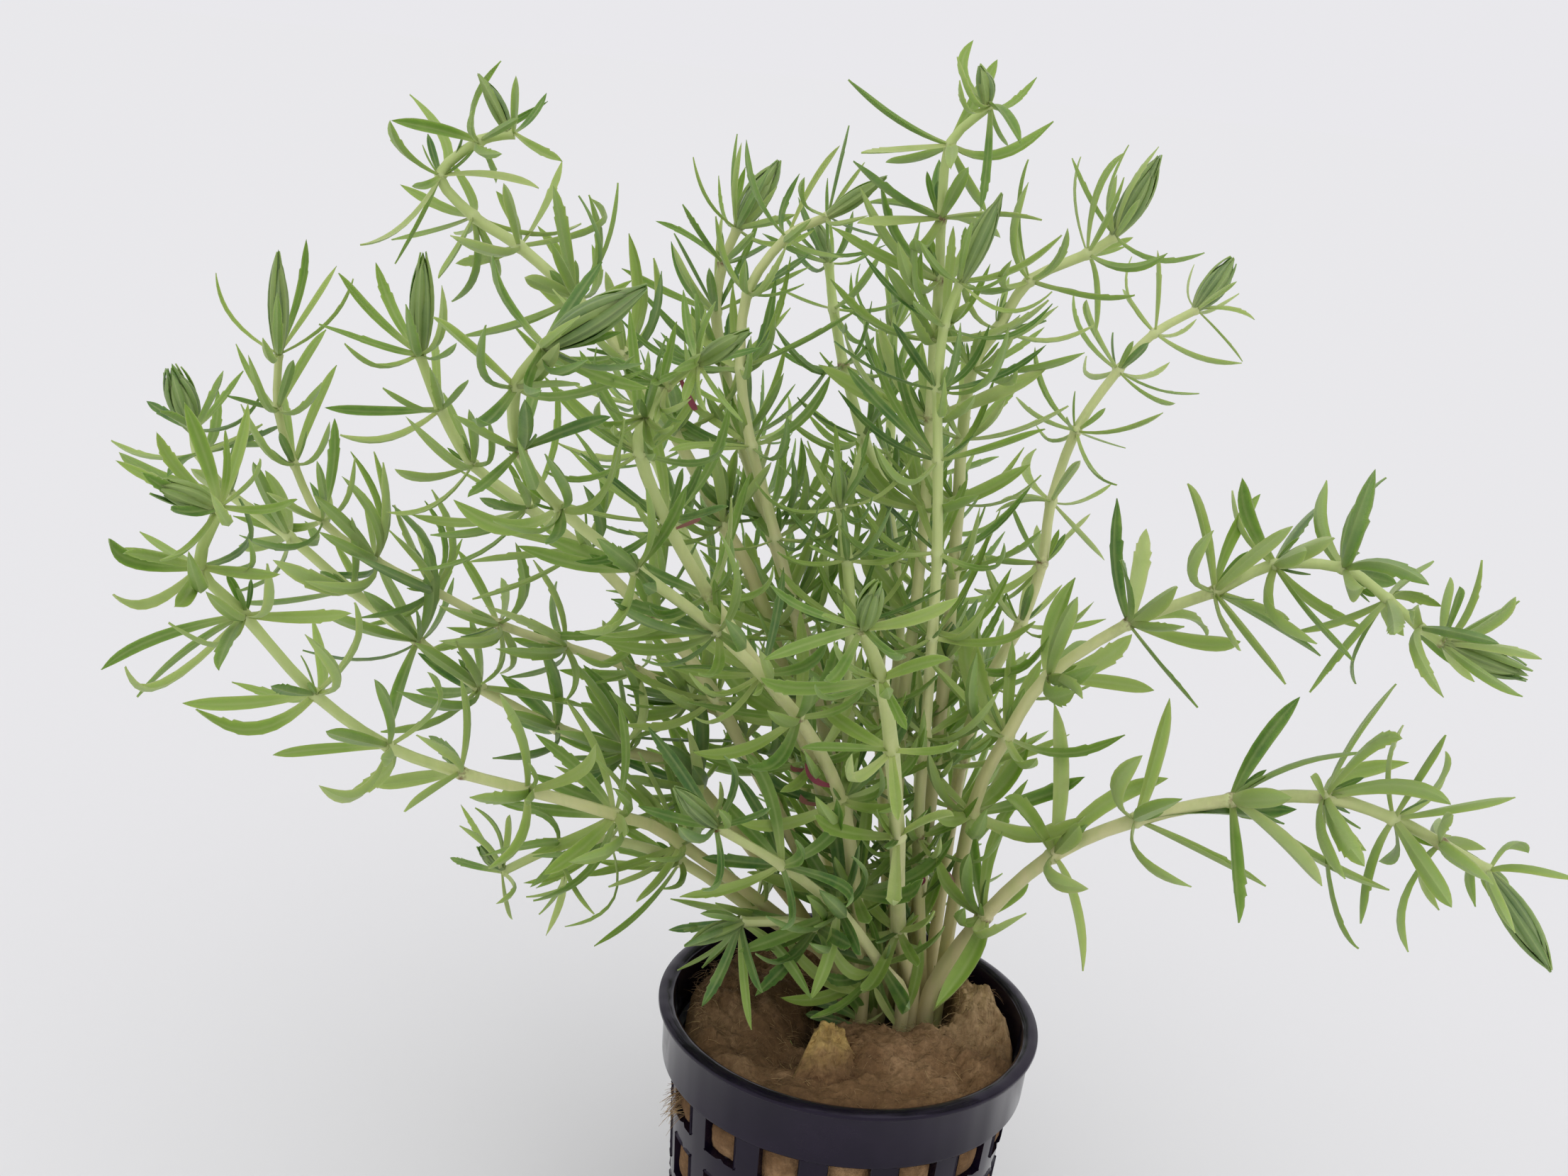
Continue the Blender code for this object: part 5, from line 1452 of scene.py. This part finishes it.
class Shading:
    """A material, with the nodes that are put together for it."""

    def __init__(self, name, values):
        self.material = bpy.data.materials.new(name)
        self.material.use_nodes = True
        self.nodes = self.material.node_tree.nodes
        self.links = self.material.node_tree.links
        self.shader = self.nodes["Principled BSDF"]
        self.fill(self.shader, values)

    def fill(self, node, values):
        """Gives sockets of a node a number, a colour or another node's output."""
        for name, value in values.items():
            socket = node.inputs[name]
            if isinstance(value, bpy.types.NodeSocket):
                self.links.new(value, socket)
            elif isinstance(value, tuple) and len(socket.default_value) == 4:
                socket.default_value = (*value, 1.0)
            else:
                socket.default_value = value

    def new(self, kind, values, output):
        """A new node's output, by name or number."""
        made = self.nodes.new("ShaderNode" + kind)
        self.fill(made, values)
        return made.outputs[output]

    def ramp(self, factor, *stops):
        """The colour between stops of (position, colour) where the factor is."""
        made = self.nodes.new("ShaderNodeValToRGB")
        while len(made.color_ramp.elements) < len(stops):
            made.color_ramp.elements.new(0.5)
        for element, (position, colour) in zip(made.color_ramp.elements, stops):
            element.position = position
            element.color = (*colour, 1.0)
        self.links.new(factor, made.inputs["Fac"])
        return made.outputs["Color"]

    def mixed(self, factor, a, b):
        """a blended towards b. A colour or an output is taken for each."""
        made = self.nodes.new("ShaderNodeMix")
        made.data_type = "RGBA"
        self.fill(made, {"Factor": factor, 6: a, 7: b})
        return made.outputs[2]

    def times(self, a, b):
        made = self.nodes.new("ShaderNodeMath")
        made.operation = "MULTIPLY"
        self.fill(made, {0: a, 1: b})
        return made.outputs["Value"]

    def noise(self, scale, detail=4.0, roughness=0.6, upright=None):
        """Noise in the object's own space. scale is in waves per metre, upright changes it along Z."""
        place = self.new("TexCoord", {}, "Object")
        if upright is not None:
            place = self.new("Mapping", {"Scale": (1, 1, upright), "Vector": place}, "Vector")
        values = {"Scale": scale, "Detail": detail, "Roughness": roughness, "Vector": place}
        return self.new("TexNoise", values, "Fac")

    def spread(self, factor, low, high, out_low=0.0, out_high=1.0):
        """factor spread from low..high to out_low..out_high."""
        values = {"From Min": low, "From Max": high, "To Min": out_low, "To Max": out_high, "Value": factor}
        return self.new("MapRange", values, "Result")

    def bump(self, height, strength, distance):
        values = {"Strength": strength, "Distance": distance, "Height": height}
        self.fill(self.shader, {"Normal": self.new("Bump", values, "Normal")})

    def stored(self):
        """The four numbers that a piece stores at its corners, as outputs."""
        stored = self.nodes.new("ShaderNodeAttribute")
        stored.attribute_name = "look"
        parts = self.nodes.new("ShaderNodeSeparateColor")
        self.links.new(stored.outputs["Color"], parts.inputs["Color"])
        return parts.outputs["Red"], parts.outputs["Green"], parts.outputs["Blue"], stored.outputs["Alpha"]

    def coloured(self, colour):
        self.fill(self.shader, {"Base Color": colour})
        return self.material


def leaf_material():
    look = Shading("pogostemon leaf", {
        "Base Color": (0.22, 0.32, 0.07),
        "Roughness": 0.48,
        "Specular IOR Level": 0.34,
        "Subsurface Weight": 0.25,
        "Subsurface Radius": (0.0006, 0.0010, 0.0003),
        "Subsurface Scale": 1.0,
    })
    along, aside, tone, under = look.stored()
    green = look.ramp(
        tone,
        (0.0, (0.038, 0.104, 0.024)),
        (0.2, (0.095, 0.190, 0.031)),
        (0.45, (0.210, 0.316, 0.054)),
        (0.75, (0.330, 0.430, 0.112)),
        (1.0, (0.440, 0.520, 0.190)),
    )
    blotches = look.spread(look.noise(320.0), 0.4, 0.7, 0.0, 0.35)
    green = look.mixed(blotches, green, (0.28, 0.385, 0.078))
    rib = look.spread(aside, 0.0, 0.3, 0.35, 0.0)
    green = look.mixed(rib, green, (0.42, 0.50, 0.19))
    foot_green = look.spread(tone, 0.0, 0.4, 0.2, 0.8)
    foot = look.times(look.spread(along, 0.02, 0.32, 1.0, 0.0), foot_green)
    green = look.mixed(foot, green, (0.48, 0.55, 0.21))
    green = look.mixed(look.spread(under, 0.0, 1.0, 0.0, 0.35), green, (0.34, 0.43, 0.20))
    look.bump(look.noise(1500.0, detail=3.0), 0.3, 0.0002)
    return look.coloured(green)


def stem_material():
    look = Shading("pogostemon stem", {
        "Base Color": (0.60, 0.66, 0.30),
        "Roughness": 0.5,
        "Subsurface Weight": 0.2,
        "Subsurface Radius": (0.0010, 0.0012, 0.0004),
        "Subsurface Scale": 1.0,
    })
    along, at_node, tone, browned = look.stored()
    # Brown and darker towards the stem's foot: partly its own colour and partly painted shade
    pale = look.ramp(
        along,
        (0.0, (0.38, 0.32, 0.130)),
        (0.12, (0.56, 0.51, 0.230)),
        (0.35, (0.72, 0.71, 0.360)),
        (0.6, (0.62, 0.70, 0.300)),
        (1.0, (0.50, 0.62, 0.210)),
    )
    pale = look.mixed(look.spread(tone, 0.5, 1.0, 0.0, 0.35), pale, (0.70, 0.58, 0.38))
    streaks = look.spread(look.noise(260.0, upright=0.35), 0.45, 0.75, 0.0, 0.6)
    pale = look.mixed(streaks, pale, (0.44, 0.54, 0.18))
    pale = look.mixed(look.times(at_node, 0.5), pale, (0.64, 0.72, 0.34))
    spots = look.spread(look.noise(900.0), 0.42, 0.62)
    sheath = look.times(look.times(at_node, browned), spots)
    pale = look.mixed(sheath, pale, (0.18, 0.090, 0.038))
    look.bump(look.noise(700.0, upright=0.25), 0.3, 0.0003)
    return look.coloured(pale)


def pink_material():
    look = Shading("pink young leaf", {"Base Color": (0.30, 0.03, 0.10), "Roughness": 0.5})
    return look.coloured(look.ramp(
        look.stored()[2],
        (0.0, (0.36, 0.19, 0.13)),
        (0.4, (0.30, 0.07, 0.09)),
        (1.0, (0.30, 0.020, 0.10)),
    ))


def pot_material():
    look = Shading("moulded pot plastic", {
        "Base Color": (0.011, 0.008, 0.014),
        "Roughness": 0.15,
        "Specular IOR Level": 0.28,
        "Specular Tint": (0.86, 0.80, 1.0),
    })
    haze = look.noise(90.0, detail=5.0)
    look.fill(look.shader, {"Roughness": look.spread(haze, 0.3, 0.7, 0.09, 0.22)})
    look.bump(look.noise(160.0, detail=1.0, upright=0.06), 0.3, 0.0012)
    tint = look.mixed(look.spread(haze, 0.4, 0.7), (0.005, 0.003, 0.009), (0.011, 0.007, 0.017))
    return look.coloured(tint)


def wool_material():
    look = Shading("rock wool", {
        "Base Color": (0.20, 0.12, 0.06),
        "Roughness": 0.95,
        "Specular IOR Level": 0.15,
    })
    shade, flap, pale, _ = look.stored()
    brown = look.ramp(
        look.noise(110.0, detail=7.0, roughness=0.65),
        (0.3, (0.100, 0.056, 0.026)),
        (0.5, (0.232, 0.133, 0.062)),
        (0.7, (0.430, 0.272, 0.144)),
    )
    fine = look.spread(look.noise(1500.0, detail=3.0), 0.35, 0.7, 0.0, 0.6)
    brown = look.mixed(fine, brown, (0.120, 0.068, 0.033))
    patches = look.spread(look.noise(500.0, detail=5.0), 0.35, 0.6, 0.25, 0.9)
    brown = look.mixed(look.times(flap, patches), brown, (0.70, 0.49, 0.170))
    # Painted light: the mound on the right is made paler
    brown = look.mixed(look.times(pale, patches), brown, (0.64, 0.46, 0.250))
    # Painted shade: darker in the pit, in low hollows and on the left side
    brown = look.mixed(shade, brown, (0.030, 0.020, 0.010))
    look.bump(look.noise(900.0, detail=6.0), 1.0, 0.0008)
    return look.coloured(brown)


def fibre_material():
    look = Shading("rock wool fibre", {"Base Color": (0.30, 0.20, 0.09), "Roughness": 0.8})
    return look.coloured(look.ramp(
        look.stored()[2],
        (0.0, (0.14, 0.080, 0.036)),
        (0.6, (0.32, 0.200, 0.095)),
        (1.0, (0.52, 0.37, 0.170)),
    ))


def make_camera():
    data = bpy.data.cameras.new("viewer")
    data.sensor_width = 36.0
    data.lens = FOCAL_LENGTH / FRAME_WIDTH * data.sensor_width
    data.clip_start = 0.005
    data.clip_end = 20.0
    camera = add_object("viewer", data)
    pitch = Matrix.Rotation(math.pi / 2 - LOOK_DOWN, 4, "X")
    lean = Matrix.Rotation(FRAME_LEAN, 4, "Z")
    camera.matrix_world = Matrix.Translation(VIEWER * MM) @ pitch @ lean
    bpy.context.scene.camera = camera


def make_studio():
    """A pale floor that meets the pale surroundings without an edge, under a wide soft sun."""
    bpy.context.scene.view_settings.view_transform = "Standard"
    world = bpy.data.worlds.new("studio")
    world.use_nodes = True
    world.node_tree.nodes["Background"].inputs["Color"].default_value = (*PALE, 1.0)
    bpy.context.scene.world = world
    data = bpy.data.lights.new("soft sun", "SUN")
    data.angle = SUN_WIDTH
    data.energy = PALE[1] * (1 / FLOOR_GREY - 1) * math.pi / SUN_FROM.normalized().z
    sun = add_object("soft sun", data)
    sun.rotation_euler = SUN_FROM.to_track_quat("Z", "Y").to_euler()
    look = Shading("studio floor", {
        "Base Color": (FLOOR_GREY,) * 3,
        "Roughness": 1.0,
        "Specular IOR Level": 0.0,
    })
    square = ((-1, -1), (1, -1), (1, 1), (-1, 1))
    corners = [(x * FLOOR_REACH, y * FLOOR_REACH, FLOOR_LEVEL) for x, y in square]
    floor = mesh_object("floor", corners, [(0, 1, 2, 3)], [look.material])


def settle(piece, slot, *nodes):
    """The piece rides on the part and stands for its nodes. slot is not used."""
    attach(piece, "root")
    if nodes:
        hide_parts(*nodes)


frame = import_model()

make_camera()
make_studio()
settle(pot_piece(pot_material()), "pot_plastic", "net_pot")
wool_look = wool_material()
settle(wool_piece(wool_look), "wool_fibre", "rock_wool")
settle(flap_piece(wool_look), "wool_fibre")
settle(fibres_piece(fibre_material()), "wool_fibre")
leafy_materials = [leaf_material(), stem_material(), pink_material()]
look_chance = random.Random(LOOK_SEED + 2)
shoots = grown_shoots()
for shoot in shoots:
    settle(shoot_piece(shoot, look_chance, leafy_materials), "leaf_green", "shoot_" + shoot.name)
settle(foot_leaves_piece(shoots, leafy_materials), "leaf_green")
